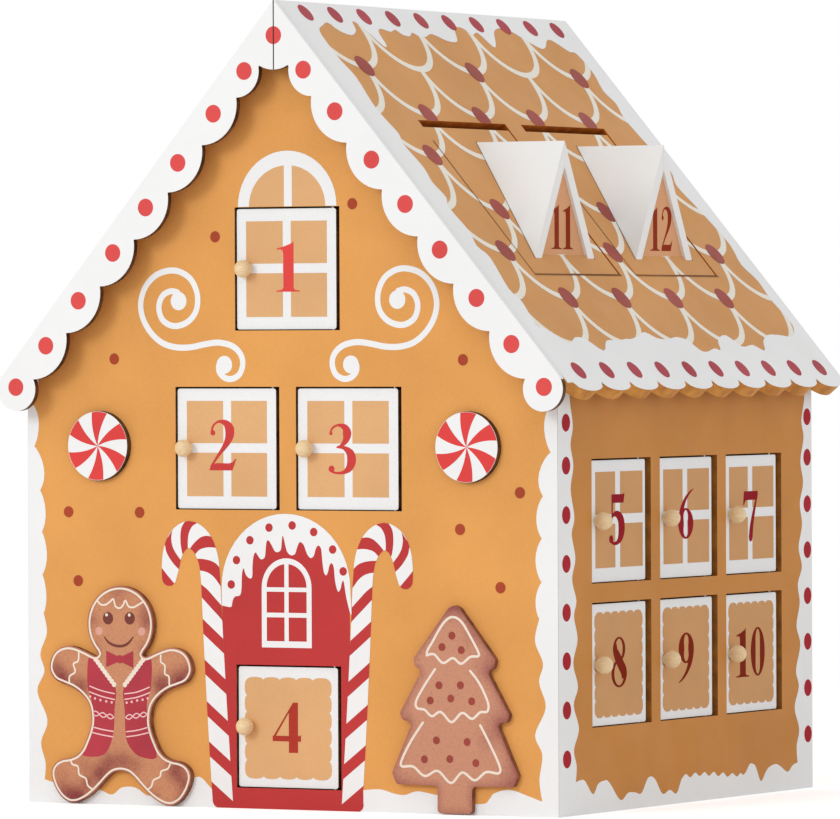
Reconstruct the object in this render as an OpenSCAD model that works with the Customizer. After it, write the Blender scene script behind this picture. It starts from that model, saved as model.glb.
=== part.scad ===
// A wooden gingerbread house that counts down the days with doors, hatches and small compartments.
// Millimetres, +Z up. The front panel faces -Y and the origin is the middle of the footprint.

/* [House] */
// Width of the front panel
house_w = 276; // [250:1:320]
// Depth from the face of the front panel to the face of the back panel
house_d = 257; // [240:1:300]
// Height of the side walls at their outer face
wall_h = 195.2; // [190:0.2:215]
// Thickness of the four outer walls
wall_t = 6; // [5.8:0.1:7]

/* [Roof] */
// Slope of the roof
roof_slope = 49.5; // [47:0.5:52]
// Thickness of the roof slabs
roof_t = 6; // [5.8:0.1:7]
// How far the slabs run past the wall's outer face, measured down the slope
eave_over = 19.9; // [16:0.1:26]
// How far the slabs stand in front of the front panel
front_over = 8.5; // [6:0.5:14]
// How far the slabs stand behind the back panel
rear_over = 14; // [10:0.5:20]
// Number of scallops along each eave
eave_lobes = 10; // [6:1:14]
// Depth of the eave scallops
eave_rise = 5; // [3:0.5:7]
// Flat stretch of the eave before the first scallop
eave_lead = 5.1; // [2:0.1:8]
// Flat stretch of the eave after the last scallop
eave_tail = 1.6; // [0.5:0.1:4]
// Radius of the slab's lower rear corner
eave_corner_r = 5; // [2:0.5:8]

/* [Bargeboards] */
// Thickness of the scalloped boards on the gable
barge_t = 3; // [2:0.5:5]
// Width of a board at the notches between its scallops
barge_w = 13.6; // [11:0.2:16]
// Depth of the board's scallops
barge_rise = 6.4; // [4:0.2:8]
// Number of full scallops on each board
barge_lobes = 6; // [4:1:8]
// Where the short first scallop starts, down the slope from the ridge
barge_first = 28; // [26:0.5:31]
// Length of the short first scallop
barge_first_len = 18; // [14:0.5:22]
// Radius of the board's round lower end
barge_end_r = 10; // [9:0.5:11]
// Radius of the round boss under the ridge
boss_r = 15.2; // [13:0.2:17]
// How far the boss's centre lies below the ridge
boss_drop = 16.3; // [15.5:0.1:18]

/* [Doors] */
// Width of the door openings in the front and back panels
front_open_w = 54.6; // [50:0.2:56]
// Width of the door openings in the side walls
side_open_w = 58; // [54:0.5:60]
// Height of every door opening
open_h = 55.9; // [52:0.1:57]
// Thickness of the doors
door_t = 4.8; // [4:0.1:4.9]
// How far a door's face lies behind the face of its wall
door_recess = 1; // [0.4:0.1:1.1]
// Gap beside a door at its free edge
free_gap = 0.6; // [0.5:0.1:1]
// Gap above a door
top_gap = 0.8; // [0.5:0.1:1.2]
// Gap below a door
bottom_gap = 0.5; // [0.4:0.1:1]
// Gap at the hinged edge of a front or back door
front_hinge_gap = 2.3; // [2:0.1:3]
// Gap at the hinged edge of a side door
side_hinge_gap = 4; // [3:0.1:5]
// Corner radius of the doors
door_r = 1.2; // [0.8:0.1:2]

/* [Door places] */
// Bottom of the lowest front opening
low_door_z = 9.4; // [9:0.1:12]
// Bottom of the pair of front openings
pair_door_z = 135.5; // [120:0.5:136]
// Distance from the ridge down to the top of the opening in the gable
top_door_drop = 93.2; // [88:0.1:95]
// Wood left between the two openings of the pair
pair_gap = 8.6; // [8:0.2:12]
// Bottom of the lower row of side openings
side_door_z = 38.4; // [30:0.2:40]
// Wood left between the two rows of side openings
row_gap = 8.6; // [8.4:0.2:12]
// Wood left between two side openings in a row
column_gap = 9; // [8:0.5:11]

/* [Knobs] */
// Radius of the turned knobs
knob_r = 4; // [3:0.1:4.6]
// Radius of the knob's foot
knob_foot_r = 2; // [1.8:0.1:2.4]
// Radius of the dowel that holds a knob in its door
dowel_r = 1.5; // [1:0.1:1.7]
// Length of the dowel
dowel_len = 3.4; // [2:0.1:3.5]
// Distance from a door's free edge to the centre of its knob
knob_in = 5.3; // [4.8:0.1:8]

/* [Hinge pins] */
// Radius of the steel pins
pin_r = 0.8; // [0.6:0.05:1]
// Length of a pin that goes into each of the two pieces that it joins
pin_hold = 3.8; // [3:0.1:4]
// Distance from the hinged edge of a door or hatch to the pin
pin_in = 2.8; // [2.6:0.1:3.2]
// Radial running clearance between a pin and a door or hatch
pin_play = 0.05; // [0.03:0.01:0.08]

/* [Roof hatches] */
// Distance from the ridge to the hatch openings, down the slope
hatch_top = 70.8; // [68:0.2:76]
// Length of the hatch openings down the slope
hatch_len = 92.4; // [88:0.2:96]
// Width of the hatch openings
hatch_w = 83.6; // [78:0.2:86]
// Distance between the middles of the two openings in a slab
hatch_pitch = 99.1; // [98:0.1:104]
// How far the pair of openings lies behind the middle of the house
hatch_shift = 2.5; // [0:0.1:4]
// Slot above a hatch, which lets its upper edge swing in
hatch_slot = 3.8; // [3.4:0.1:4.4]
// Gap around the other three edges of a hatch
hatch_gap = 0.6; // [0.4:0.1:1]
// Thickness of the hatches
hatch_t = 5.4; // [4.8:0.1:5.5]
// How far a hatch's face lies below the face of the roof
hatch_recess = 0.4; // [0.2:0.1:0.4]

/* [Dormers] */
// Distance from the ridge to the back tip of a dormer, down the slope
dormer_top = 82.7; // [81.5:0.1:86]
// Length of the dormer's ridge
dormer_len = 45.8; // [40:0.2:46]
// Pitch of the two dormer roof plates
dormer_pitch = 61.7; // [58:0.1:64]
// Thickness of the dormer roof plates
dormer_plate_t = 5.6; // [4:0.1:6]
// Thickness of the triangular dormer front
dormer_front_t = 4; // [3:0.5:6]
// How far the triangular front lies behind the plates' front edges
dormer_front_in = 1.5; // [0.8:0.1:3]

/* [Inner boards] */
// Thickness of the shelves and partitions
board_t = 4; // [3:0.1:4.2]
// Thickness of the base board
base_t = 6; // [5:0.1:6.4]
// Gap between an opening and the board beside, above or below it
sill = 1.1; // [1:0.1:1.2]
// Half width of the compartments behind the single front doors
nook_half = 29; // [28.6:0.1:32]
// Width of the lap that a stop strip gives a closed door
stop_lap = 1.6; // [1:0.1:2]
// Depth of the stop strips
stop_t = 4; // [3:0.5:5]

/* [Peppermint discs] */
// Radius of the peppermint discs
disc_r = 16; // [14:0.5:18]
// Thickness of the discs
disc_t = 3; // [2:0.5:4]
// Radius of the disc's front edge
disc_edge_r = 1; // [0.5:0.1:1.5]
// Height of the discs' centres
disc_z = 164.4; // [160:0.2:170]
// Distance of the left disc from the middle
left_disc_x = 98.7; // [96:0.1:104]
// Distance of the right disc from the middle
right_disc_x = 93.6; // [90:0.1:104]

/* [Gingerbread cut-outs] */
// Thickness of the gingerbread man and tree
cutout_t = 3; // [2:0.5:4]
// Height of the cut-outs' lowest point above the table
cutout_z = 0.6; // [0.2:0.1:3]
// Height of the gingerbread man
man_h = 99.7; // [85:0.1:105]
// Distance of the gingerbread man from the middle
man_x = 87; // [82:0.2:92]
// Height of the gingerbread tree
tree_h = 92.8; // [80:0.1:100]
// Distance of the gingerbread tree from the middle
tree_x = 87; // [84:0.1:94]

/* [Hidden] */
door_numbers = [for (n = [1 : 22]) if (n <= 10 || n >= 13) n];
hatch_numbers = [11, 12, 23, 24];
fixed_nodes = [
    "front_panel", "back_panel", "left_wall", "right_wall", "base_board", "inner_boards",
    "hinge_pins", "roof_left", "roof_right", "bargeboards", "peppermint_discs",
    "gingerbread_cutouts"
];

$fn = 48;
// How far a cut runs past the face that it opens
over = 1;
// Gap left by a glued or pressed joint
glue = 0.05;

// Heights and lengths that follow from the sizes above
roof_drop = roof_t / cos(roof_slope);
ridge_h = wall_h + house_w / 2 * tan(roof_slope) + roof_drop;
roof_len = house_w / 2 / cos(roof_slope) + eave_over;
roof_span = front_over + house_d + rear_over;
front_y = -(house_d + rear_over - front_over - barge_t) / 2;
middle_y = front_y + house_d / 2;
inner_w = house_w / 2 - wall_t;

// Places of the doors, in the frame of the wall that holds them
top_door_z = ridge_h - top_door_drop - open_h;
pair_x = (front_open_w + pair_gap) / 2;
front_places = [
    [0, top_door_z], [-pair_x, pair_door_z], [pair_x, pair_door_z], [0, low_door_z]
];
side_pitch = side_open_w + column_gap;
side_top_z = side_door_z + open_h + row_gap;
pin_depth = door_recess + door_t / 2;

// Faces of the inner boards
partition_x = pair_x + front_open_w / 2 + sill;
attic_z = pair_door_z + open_h + sill;
side_shelf_faces = [
    side_door_z - sill - board_t,
    side_top_z - (row_gap + board_t) / 2,
    side_top_z + open_h + sill
];

function like(n) = n > 12 ? n - 12 : n;
function wall_of(n) = n <= 4 ? 0 : n <= 10 ? 1 : n <= 16 ? 2 : 3;
function on_side(n) = wall_of(n) % 2 == 1;
function open_w(n) = on_side(n) ? side_open_w : front_open_w;
function hinge_gap(n) = on_side(n) ? side_hinge_gap : front_hinge_gap;
function side_column(n) = (like(n) - 5) % 3 - 1;
function door_u(n) = on_side(n) ? side_column(n) * side_pitch : front_places[like(n) - 1][0];
function door_z(n) =
    on_side(n) ? (like(n) < 8 ? side_top_z : side_door_z) : front_places[like(n) - 1][1];
function pin_u(n) = open_w(n) / 2 - hinge_gap(n) - pin_in;
// Radius of the arc that spans a chord of half width h with the given rise
function arc_r(h, rise) = (h * h + rise * rise) / (2 * rise);
// Height of the roof's underside above the table at a distance x from the middle
function under_roof(x) = ridge_h - roof_drop - x * tan(roof_slope);

// Draws a flat shape in X and Z, from y0 back to y1
module along_y(y0, y1) {
    translate([0, y1, 0])
        rotate([90, 0, 0])
            linear_extrude(y1 - y0) children();
}

// Draws a flat shape in Y and Z, from x0 to x1
module along_x(x0, x1) {
    translate([x0, 0, 0])
        rotate([90, 0, 90])
            linear_extrude(x1 - x0) children();
}

// Moves a wall's own frame, with its face at y = 0 and its outside towards -Y, to wall w
module on_wall(w) {
    translate([0, middle_y, 0])
        rotate(90 * w)
            translate([0, -(w % 2 == 0 ? house_d : house_w) / 2, 0]) children();
}

// Moves a door's frame, with its origin below the middle of the opening, to its place
module at_door(n) {
    on_wall(wall_of(n))
        translate([door_u(n), 0, door_z(n)]) children();
}

// The slab's frame: X down the slope from the ridge, Y back from the front panel, Z outwards
module on_roof(side) {
    mirror([side < 0 ? 1 : 0, 0, 0])
        translate([0, front_y, ridge_h])
            rotate([0, roof_slope, 0]) children();
}

function hatch_side(n) = n < 13 ? 1 : -1;
function hatch_y(n) =
    house_d / 2 + hatch_shift + (like(n) == 11 ? -1 : 1) * hatch_pitch / 2;

module at_hatch(n) {
    on_roof(hatch_side(n))
        translate([hatch_top, hatch_y(n), 0]) children();
}

module rounded_square(size, r) {
    translate([r, 0]) square([size[0] - 2 * r, size[1]]);
    translate([0, r]) square([size[0], size[1] - 2 * r]);
    for (x = [r, size[0] - r], y = [r, size[1] - r]) translate([x, y]) circle(r);
}

// A pair of upright pins or bores at a door's hinge, each from inside the wall into the door
module door_pin_pair(n, r, in_wall, in_door) {
    translate([pin_u(n), pin_depth, 0]) {
        translate([0, 0, -in_wall]) cylinder(r = r, h = in_wall + bottom_gap + in_door);
        translate([0, 0, open_h - top_gap - in_door])
            cylinder(r = r, h = in_door + top_gap + in_wall);
    }
}

// A pair of level pins or bores at a hatch's hinge
module hatch_pin_pair(r, in_roof, in_hatch) {
    reach = in_roof + hatch_gap + in_hatch;
    for (side = [-1, 1])
        translate([hatch_slot + pin_in, side * hatch_w / 2, -hatch_recess - hatch_t / 2])
            rotate([side * 90, 0, 0])
                translate([0, 0, -in_roof]) cylinder(r = r, h = reach);
}

// What is cut from a wall for its doors
module door_cuts(w) {
    for (n = door_numbers)
        if (wall_of(n) == w)
            translate([door_u(n), 0, door_z(n)]) {
                translate([-open_w(n) / 2, -over, 0])
                    cube([open_w(n), wall_t + 2 * over, open_h]);
                door_pin_pair(n, pin_r + glue / 2, pin_hold + glue, 0);
            }
}

module gable_panel(w) {
    on_wall(w)
        difference() {
            along_y(0, wall_t)
                polygon([
                    [-house_w / 2, 0], [house_w / 2, 0], [house_w / 2, wall_h],
                    [0, under_roof(0)], [-house_w / 2, wall_h]
                ]);
            door_cuts(w);
        }
}

module side_wall(w) {
    half = house_d / 2 - wall_t;
    on_wall(w)
        difference() {
            along_x(-half, half)
                polygon([
                    [0, 0], [wall_t, 0],
                    [wall_t, wall_h + wall_t * tan(roof_slope)], [0, wall_h]
                ]);
            door_cuts(w);
        }
}

module front_panel() {
    color("sandybrown") gable_panel(0);
}

module right_wall() {
    color("peru") side_wall(1);
}

module back_panel() {
    color("sandybrown") gable_panel(2);
}

module left_wall() {
    color("peru") side_wall(3);
}

module base_board() {
    color("burlywood")
        translate([-inner_w, front_y + wall_t, 0])
            cube([2 * inner_w, house_d - 2 * wall_t, base_t]);
}

// The roof slab in plan: a rectangle whose lower edge is cut in scallops
module slab_plan() {
    straight = roof_len - eave_rise;
    run = roof_span - eave_lead - eave_tail;
    pitch = run / eave_lobes;
    lobe_r = arc_r(pitch / 2, eave_rise);
    square([straight, roof_span - eave_corner_r]);
    square([straight - eave_corner_r, roof_span]);
    translate([straight - eave_corner_r, roof_span - eave_corner_r]) circle(eave_corner_r);
    intersection() {
        translate([straight - over, 0]) square([eave_rise + 2 * over, roof_span]);
        for (i = [0 : eave_lobes - 1])
            translate([roof_len - lobe_r, eave_lead + (i + 0.5) * pitch]) circle(lobe_r);
    }
}

module roof_slab(side) {
    on_roof(side)
        difference() {
            translate([0, -front_over, -roof_t]) linear_extrude(roof_t) slab_plan();
            // The mitre where the two slabs meet at the ridge
            along_y(-front_over - over, house_d + rear_over + over)
                polygon([
                    [0, 0], [roof_t * tan(roof_slope), -roof_t],
                    [roof_t * tan(roof_slope), -roof_t - over], [-over, -roof_t - over], [-over, 0]
                ]);
            for (y = [hatch_y(11), hatch_y(12)])
                translate([hatch_top, y, 0]) {
                    translate([0, -hatch_w / 2, -roof_t - over])
                        cube([hatch_len, hatch_w, roof_t + 2 * over]);
                    hatch_pin_pair(pin_r + glue / 2, pin_hold + glue, 0);
                }
        }
}

module roof_left() {
    color("tan") roof_slab(-1);
}

module roof_right() {
    color("tan") roof_slab(1);
}

// One bargeboard, seen from the front, with the ridge at the origin
module bargeboard_outline() {
    end_x = roof_len - barge_end_r;
    lobes_x = barge_first + barge_first_len;
    pitch = (end_x - barge_end_r + over - lobes_x) / barge_lobes;
    lobe_r = arc_r(pitch / 2, barge_rise);
    first_rise = barge_rise * barge_first_len / pitch;
    first_r = arc_r(barge_first_len / 2, first_rise);
    intersection() {
        union() {
            translate([0, -boss_drop]) circle(boss_r);
            rotate(-roof_slope) {
                translate([0, -barge_w]) square([lobes_x + barge_lobes * pitch, barge_w]);
                translate([0, -barge_end_r]) square([end_x, barge_end_r]);
                translate([end_x, -barge_end_r]) circle(barge_end_r);
                translate([barge_first + barge_first_len / 2, first_r - barge_w - first_rise])
                    circle(first_r);
                for (i = [0 : barge_lobes - 1])
                    translate([lobes_x + (i + 0.5) * pitch, lobe_r - barge_w - barge_rise])
                        circle(lobe_r);
            }
        }
        // Below the roof's surface and on one side of the ridge
        rotate(-roof_slope) translate([-ridge_h, -ridge_h]) square([2 * ridge_h, ridge_h]);
        translate([glue / 2, -ridge_h]) square([ridge_h, 2 * ridge_h]);
    }
}

module bargeboards() {
    color("white")
        for (side = [0, 1])
            mirror([side, 0, 0])
                translate([0, front_y - front_over, ridge_h])
                    along_y(-barge_t, 0) bargeboard_outline();
}

module door_leaf(n) {
    w = open_w(n) - free_gap - hinge_gap(n);
    h = open_h - top_gap - bottom_gap;
    difference() {
        translate([-open_w(n) / 2 + free_gap, 0, bottom_gap])
            along_y(door_recess, door_recess + door_t) rounded_square([w, h], door_r);
        door_pin_pair(n, pin_r + pin_play, 0, pin_hold + pin_play);
        at_knob(n) translate([0, 0, -dowel_len - glue])
            cylinder(r = dowel_r + glue / 2, h = dowel_len + glue + over);
    }
}

// The knob's frame: on the door's face, with Z outwards
module at_knob(n) {
    translate([-open_w(n) / 2 + free_gap + knob_in, door_recess, open_h / 2])
        rotate([90, 0, 0]) children();
}

module door(n) {
    color(on_side(n) ? "wheat" : "ivory") at_door(n) door_leaf(n);
}

module knob(n) {
    color("burlywood")
        at_door(n)
            at_knob(n) {
                translate([0, 0, knob_r]) sphere(knob_r);
                cylinder(r = knob_foot_r, h = knob_r);
                translate([0, 0, -dowel_len]) cylinder(r = dowel_r, h = dowel_len + knob_r);
            }
}

module hatch(n) {
    color("tan")
        at_hatch(n)
            difference() {
                translate([hatch_slot, hatch_gap - hatch_w / 2, -hatch_recess - hatch_t])
                    cube([hatch_len - hatch_slot - hatch_gap, hatch_w - 2 * hatch_gap, hatch_t]);
                hatch_pin_pair(pin_r + pin_play, 0, pin_hold + pin_play);
            }
}

// Everything above the hatch's face and behind the dormer's front, in the dormer's frame
module dormer_space() {
    drop = dormer_len * tan(roof_slope);
    half = drop / tan(dormer_pitch) + over;
    along_y(-half, half)
        polygon([[-over / tan(roof_slope), over], [dormer_len, over], [dormer_len, -drop]]);
}

module dormer_plate() {
    down = dormer_len * tan(roof_slope) + over;
    out = down / tan(dormer_pitch);
    across = dormer_plate_t / sin(dormer_pitch);
    intersection() {
        dormer_space();
        along_x(-over, dormer_len + over)
            polygon([
                [glue, -glue * tan(dormer_pitch)], [out, -down], [out - across, -down],
                [glue, -dormer_plate_t / cos(dormer_pitch) - glue * tan(dormer_pitch)]
            ]);
    }
}

module dormer_front() {
    top = dormer_plate_t / cos(dormer_pitch) + glue / cos(dormer_pitch);
    down = dormer_len * tan(roof_slope) + over;
    half = (down - top) / tan(dormer_pitch);
    face_x = dormer_len - dormer_front_in;
    intersection() {
        dormer_space();
        along_x(face_x - dormer_front_t, face_x)
            polygon([[0, -top], [half, -down], [-half, -down]]);
    }
}

module dormer(n) {
    color("white")
        at_hatch(n)
            translate([dormer_top - hatch_top, 0, -hatch_recess])
                rotate([0, -roof_slope, 0]) {
                    dormer_plate();
                    mirror([0, 1, 0]) dormer_plate();
                    dormer_front();
                }
}

module hinge_pins() {
    color("silver") {
        for (n = door_numbers)
            at_door(n) door_pin_pair(n, pin_r, pin_hold, pin_hold);
        for (n = hatch_numbers)
            at_hatch(n) hatch_pin_pair(pin_r, pin_hold, pin_hold);
    }
}

// The space inside the walls and under the roof, in the front panel's frame
module inside() {
    half = inner_w - glue;
    side_top = under_roof(half) - glue / cos(roof_slope);
    along_y(wall_t + glue, house_d - wall_t - glue)
        polygon([
            [-half, 0], [half, 0], [half, side_top],
            [0, under_roof(0) - glue / cos(roof_slope)], [-half, side_top]
        ]);
}

// A board between two corners, cut to fit inside, with a joint's gap all round
module board(low, high) {
    gap = [glue, glue, glue];
    intersection() {
        inside();
        translate(low + gap) cube(high - low - 2 * gap);
    }
}

// The boards behind the four front doors, from the front panel to the cross wall
module front_boards() {
    y0 = wall_t;
    y1 = (house_d - board_t) / 2;
    nook_out = nook_half + board_t;
    low_top = low_door_z + open_h + sill;
    pair_floor = pair_door_z - sill;
    top_floor = top_door_z - sill;
    top_ceiling = top_door_z + open_h + sill;
    for (side = [-1, 1]) {
        x = side > 0 ? nook_half : -nook_out;
        board([x, y0, base_t], [x + board_t, y1, low_top]);
        board([x, y0, attic_z + board_t], [x + board_t, y1, ridge_h]);
    }
    board([-partition_x, y0, low_top], [partition_x, y1, low_top + board_t]);
    board([-partition_x, y0, pair_floor - board_t], [partition_x, y1, pair_floor]);
    board([-board_t / 2, y0, pair_floor], [board_t / 2, y1, attic_z]);
    board([-nook_half, y0, top_floor - board_t], [nook_half, y1, top_floor]);
    board([-nook_half, y0, top_ceiling], [nook_half, y1, top_ceiling + board_t]);
}

// The shelves and dividers behind the six doors of the right wall
module side_boards() {
    x0 = partition_x + board_t;
    y_cut = side_pitch / 2;
    for (z = side_shelf_faces)
        board([x0, wall_t, z], [inner_w, house_d - wall_t, z + board_t]);
    for (row = [0, 1], side = [-1, 1]) {
        y = house_d / 2 + side * y_cut - board_t / 2;
        board(
            [x0, y, side_shelf_faces[row] + board_t],
            [inner_w, y + board_t, side_shelf_faces[row + 1]]
        );
    }
}

// A strip behind the free edge of a door, in the door's frame, which the closed door meets
module door_stop(n) {
    translate([-open_w(n) / 2 - sill + glue, wall_t + glue, sill])
        cube([sill + stop_lap - glue, stop_t, open_h - 2 * sill]);
}

// A strip under the lower edge of a hatch, which the closed hatch rests on
module hatch_stop() {
    translate([hatch_len - hatch_gap - stop_lap, sill - hatch_w / 2, -roof_t - stop_t - glue])
        cube([hatch_gap + 2 * stop_lap, hatch_w - 2 * sill, stop_t]);
}

module inner_boards() {
    cross_y = (house_d - board_t) / 2;
    color("burlywood") {
        translate([0, front_y, 0]) {
            for (side = [0, 1]) {
                mirror([side, 0, 0]) {
                    board(
                        [partition_x, wall_t, base_t],
                        [partition_x + board_t, house_d - wall_t, attic_z]
                    );
                    side_boards();
                }
                translate([0, side * house_d, 0]) mirror([0, side, 0]) front_boards();
            }
            board([-partition_x, cross_y, base_t], [partition_x, cross_y + board_t, attic_z]);
            board([-inner_w, wall_t, attic_z], [inner_w, house_d - wall_t, attic_z + board_t]);
            board([-inner_w, cross_y, attic_z + board_t], [inner_w, cross_y + board_t, ridge_h]);
        }
        for (n = door_numbers) at_door(n) door_stop(n);
        for (n = hatch_numbers) at_hatch(n) hatch_stop();
    }
}

module peppermint_disc() {
    rotate([90, 0, 0])
        rotate_extrude() {
            square([disc_r - disc_edge_r, disc_t]);
            square([disc_r, disc_t - disc_edge_r]);
            translate([disc_r - disc_edge_r, disc_t - disc_edge_r]) circle(disc_edge_r);
        }
}

module peppermint_discs() {
    color("crimson")
        for (x = [-left_disc_x, right_disc_x])
            translate([x, front_y, disc_z]) peppermint_disc();
}

// The points of a smooth curve through the points p, with n steps from each to the next
function curve_through(p, n) = [
    for (i = [0 : len(p) - 2], k = [0 : n - 1])
        let (
            a = p[max(i - 1, 0)], b = p[i], c = p[i + 1], d = p[min(i + 2, len(p) - 1)],
            t = k / n, from_b = (c - a) / 2, from_c = (d - b) / 2
        )
        (2 * t ^ 3 - 3 * t ^ 2 + 1) * b + (t ^ 3 - 2 * t ^ 2 + t) * from_b
        + (3 * t ^ 2 - 2 * t ^ 3) * c + (t ^ 3 - t ^ 2) * from_c
];

// The gingerbread man, one unit high: a round head, and a line from the neck down to the crotch
module man_outline() {
    half_shares = [
        [0.117, 0.685], [0.138, 0.677], [0.188, 0.697], [0.238, 0.715], [0.28, 0.721],
        [0.325, 0.711], [0.36, 0.684], [0.379, 0.64], [0.377, 0.603], [0.35, 0.566],
        [0.305, 0.547], [0.263, 0.533], [0.222, 0.51], [0.188, 0.48], [0.167, 0.447],
        [0.158, 0.405], [0.159, 0.365], [0.17, 0.325], [0.188, 0.284], [0.208, 0.247],
        [0.235, 0.221], [0.272, 0.206], [0.313, 0.199], [0.347, 0.183], [0.369, 0.155],
        [0.373, 0.122], [0.36, 0.082], [0.338, 0.045], [0.31, 0.017], [0.272, 0],
        [0.232, 0.003], [0.188, 0.022], [0.146, 0.051], [0.105, 0.088], [0.071, 0.121],
        [0.038, 0.144], [0, 0.152]
    ];
    head_share = 0.176;
    jaw_shares = [0.152, 0.747];
    steps = 4;
    half = concat([jaw_shares], curve_through(half_shares, steps));
    other_half = [for (i = [len(half) - 1 : -1 : 0]) [-half[i][0], half[i][1]]];
    scale(man_h) {
        translate([0, 1 - head_share]) circle(head_share);
        polygon(concat(half, other_half));
    }
}

// The tree's right half, one unit high, as [x, z] corners from the tip down to the trunk
module tree_outline() {
    corner_shares = [
        [0, 1.005], [0.03, 0.99], [0.05, 0.965], [0.224, 0.745], [0.214, 0.7], [0.175, 0.695],
        [0.3, 0.48], [0.286, 0.445], [0.23, 0.44], [0.345, 0.19], [0.32, 0.135],
        [0.0945, 0.133], [0.0945, 0], [0, 0]
    ];
    round_share = 0.02;
    scale(tree_h)
        offset(r = round_share, $fn = 32)
            offset(r = -2 * round_share, $fn = 32)
                offset(r = round_share, $fn = 32)
                    for (side = [0, 1]) mirror([side, 0]) polygon(corner_shares);
}

module gingerbread_cutouts() {
    color("sienna")
        translate([0, front_y, cutout_z]) {
            translate([-man_x, 0, 0]) along_y(-cutout_t, 0) man_outline();
            translate([tree_x, 0, 0]) along_y(-cutout_t, 0) tree_outline();
        }
}

// The two digits that end the name of a door, knob, hatch or dormer
function digits(n) = str(n < 10 ? "0" : "", n);

front_panel();
back_panel();
left_wall();
right_wall();
base_board();
inner_boards();
hinge_pins();
roof_left();
roof_right();
bargeboards();
peppermint_discs();
gingerbread_cutouts();
for (n = door_numbers) {
    door(n);
    knob(n);
}
for (n = hatch_numbers) {
    hatch(n);
    dormer(n);
}
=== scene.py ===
# %% [markdown]
# # A gingerbread house that counts down the days
# The object is a wooden advent calendar: flat boards cut by laser, printed like gingerbread with white
# icing, with twenty-four little doors and roof hatches that really open.
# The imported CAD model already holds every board, door, knob and pin, so this lesson adds what a print shop
# would: the finishes of the wood, and the printed icing as paper-thin sheets that lie on the boards.

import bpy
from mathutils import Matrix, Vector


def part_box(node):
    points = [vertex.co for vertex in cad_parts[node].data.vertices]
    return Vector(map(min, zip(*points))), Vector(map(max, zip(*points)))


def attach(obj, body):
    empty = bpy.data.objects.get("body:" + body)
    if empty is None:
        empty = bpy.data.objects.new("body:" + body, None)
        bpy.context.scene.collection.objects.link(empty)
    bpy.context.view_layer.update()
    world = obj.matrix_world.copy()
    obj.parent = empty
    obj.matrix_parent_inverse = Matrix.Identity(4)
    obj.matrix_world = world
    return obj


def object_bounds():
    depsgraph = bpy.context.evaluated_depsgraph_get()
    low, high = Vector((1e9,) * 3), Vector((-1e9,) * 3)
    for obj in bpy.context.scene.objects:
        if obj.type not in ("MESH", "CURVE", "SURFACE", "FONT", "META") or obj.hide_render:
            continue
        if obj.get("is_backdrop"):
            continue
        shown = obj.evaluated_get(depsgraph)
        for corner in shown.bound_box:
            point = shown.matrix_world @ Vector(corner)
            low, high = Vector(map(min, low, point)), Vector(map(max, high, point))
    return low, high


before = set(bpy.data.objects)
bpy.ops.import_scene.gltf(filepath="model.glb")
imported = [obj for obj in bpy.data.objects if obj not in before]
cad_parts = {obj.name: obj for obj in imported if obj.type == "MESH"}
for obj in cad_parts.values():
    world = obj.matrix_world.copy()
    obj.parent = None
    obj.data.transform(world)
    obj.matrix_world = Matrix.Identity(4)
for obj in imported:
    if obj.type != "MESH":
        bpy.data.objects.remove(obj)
cad_box = [list(corner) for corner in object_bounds()]
print("CAD box in mm:", [[round(v * 1000, 1) for v in corner] for corner in cad_box])

# %% [markdown]
# ## Measure the boards
# A printed sheet has to land exactly on its board. The sizes could be typed in again, but then they would
# drift apart from the model. Instead the boxes of the boards give them. All drawing below is in millimetres.

# %% Sizes that the boards give
import math

import bpy
from mathutils import Matrix, Vector
from mathutils.geometry import delaunay_2d_cdt

MM = 0.001
ROOF_SLOPE = 49.5


def box_mm(node):
    low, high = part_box(node)
    return low / MM, high / MM


front_low, front_high = box_mm("front_panel")
_, back_high = box_mm("back_panel")
slab_low, slab_high = box_mm("roof_right")
slope = math.radians(ROOF_SLOPE)
house_w = front_high.x - front_low.x
house_d = back_high.y - front_low.y
front_y = front_low.y
middle_y = (front_low.y + back_high.y) / 2
ridge_h = slab_high.z
roof_len = slab_high.x / math.cos(slope)
front_over = front_y - slab_low.y
roof_span = slab_high.y - slab_low.y
print(f"house {house_w:.1f} wide, {house_d:.1f} deep, ridge at {ridge_h:.1f}")
print(f"roof slab {roof_len:.1f} down the slope, {roof_span:.1f} from front to back")

# %% [markdown]
# ## Places to print on
# Each board gets its own flat drawing sheet: two numbers across it and a lift off its face. For a wall they
# are `u`, to the right as seen from outside, and `z`, the height. For a roof slab they are `a`, down the
# slope from the ridge, and `b`, back from the front panel. One small function per board turns the sheet into
# the real place, so every drawing can be made flat, and can be used again on the other side of the house.

# %% Walls and roof slabs as drawing sheets


def on_wall(wall, face=0.0):
    """The sheet of a wall: 0 is the front, 1 the right, 2 the back and 3 the left one.

    face is how far the printed face stands behind the wall's own face.
    """
    turn = Matrix.Rotation(math.radians(90 * wall), 3, "Z")
    half = (house_w if wall % 2 else house_d) / 2

    def place(u, z, lift):
        return turn @ Vector((u, face - half - lift, z)) + Vector((0, middle_y, 0))

    return place


def on_roof(side, face=0.0):
    """The sheet of a roof slab: side is 1 for the right one and -1 for the left one."""

    def place(a, b, lift):
        out = lift - face
        x = a * math.cos(slope) + out * math.sin(slope)
        return Vector((side * x, front_y + b, ridge_h - a * math.sin(slope) + out * math.cos(slope)))

    return place


print("foot of the front wall's middle:", [round(v, 1) for v in on_wall(0)(0, 0, 0)])
print("ridge above the front panel:", [round(v, 1) for v in on_roof(1)(0, 0, 0)])

# %% Doors and hatches on their sheets
HATCHES = [11, 12, 23, 24]
DOORS = [n for n in range(1, 23) if n not in HATCHES]
# How far the faces of the doors and hatches stand behind the faces of their boards.
DOOR_RECESS = 1.0
HATCH_RECESS = 0.4


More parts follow.
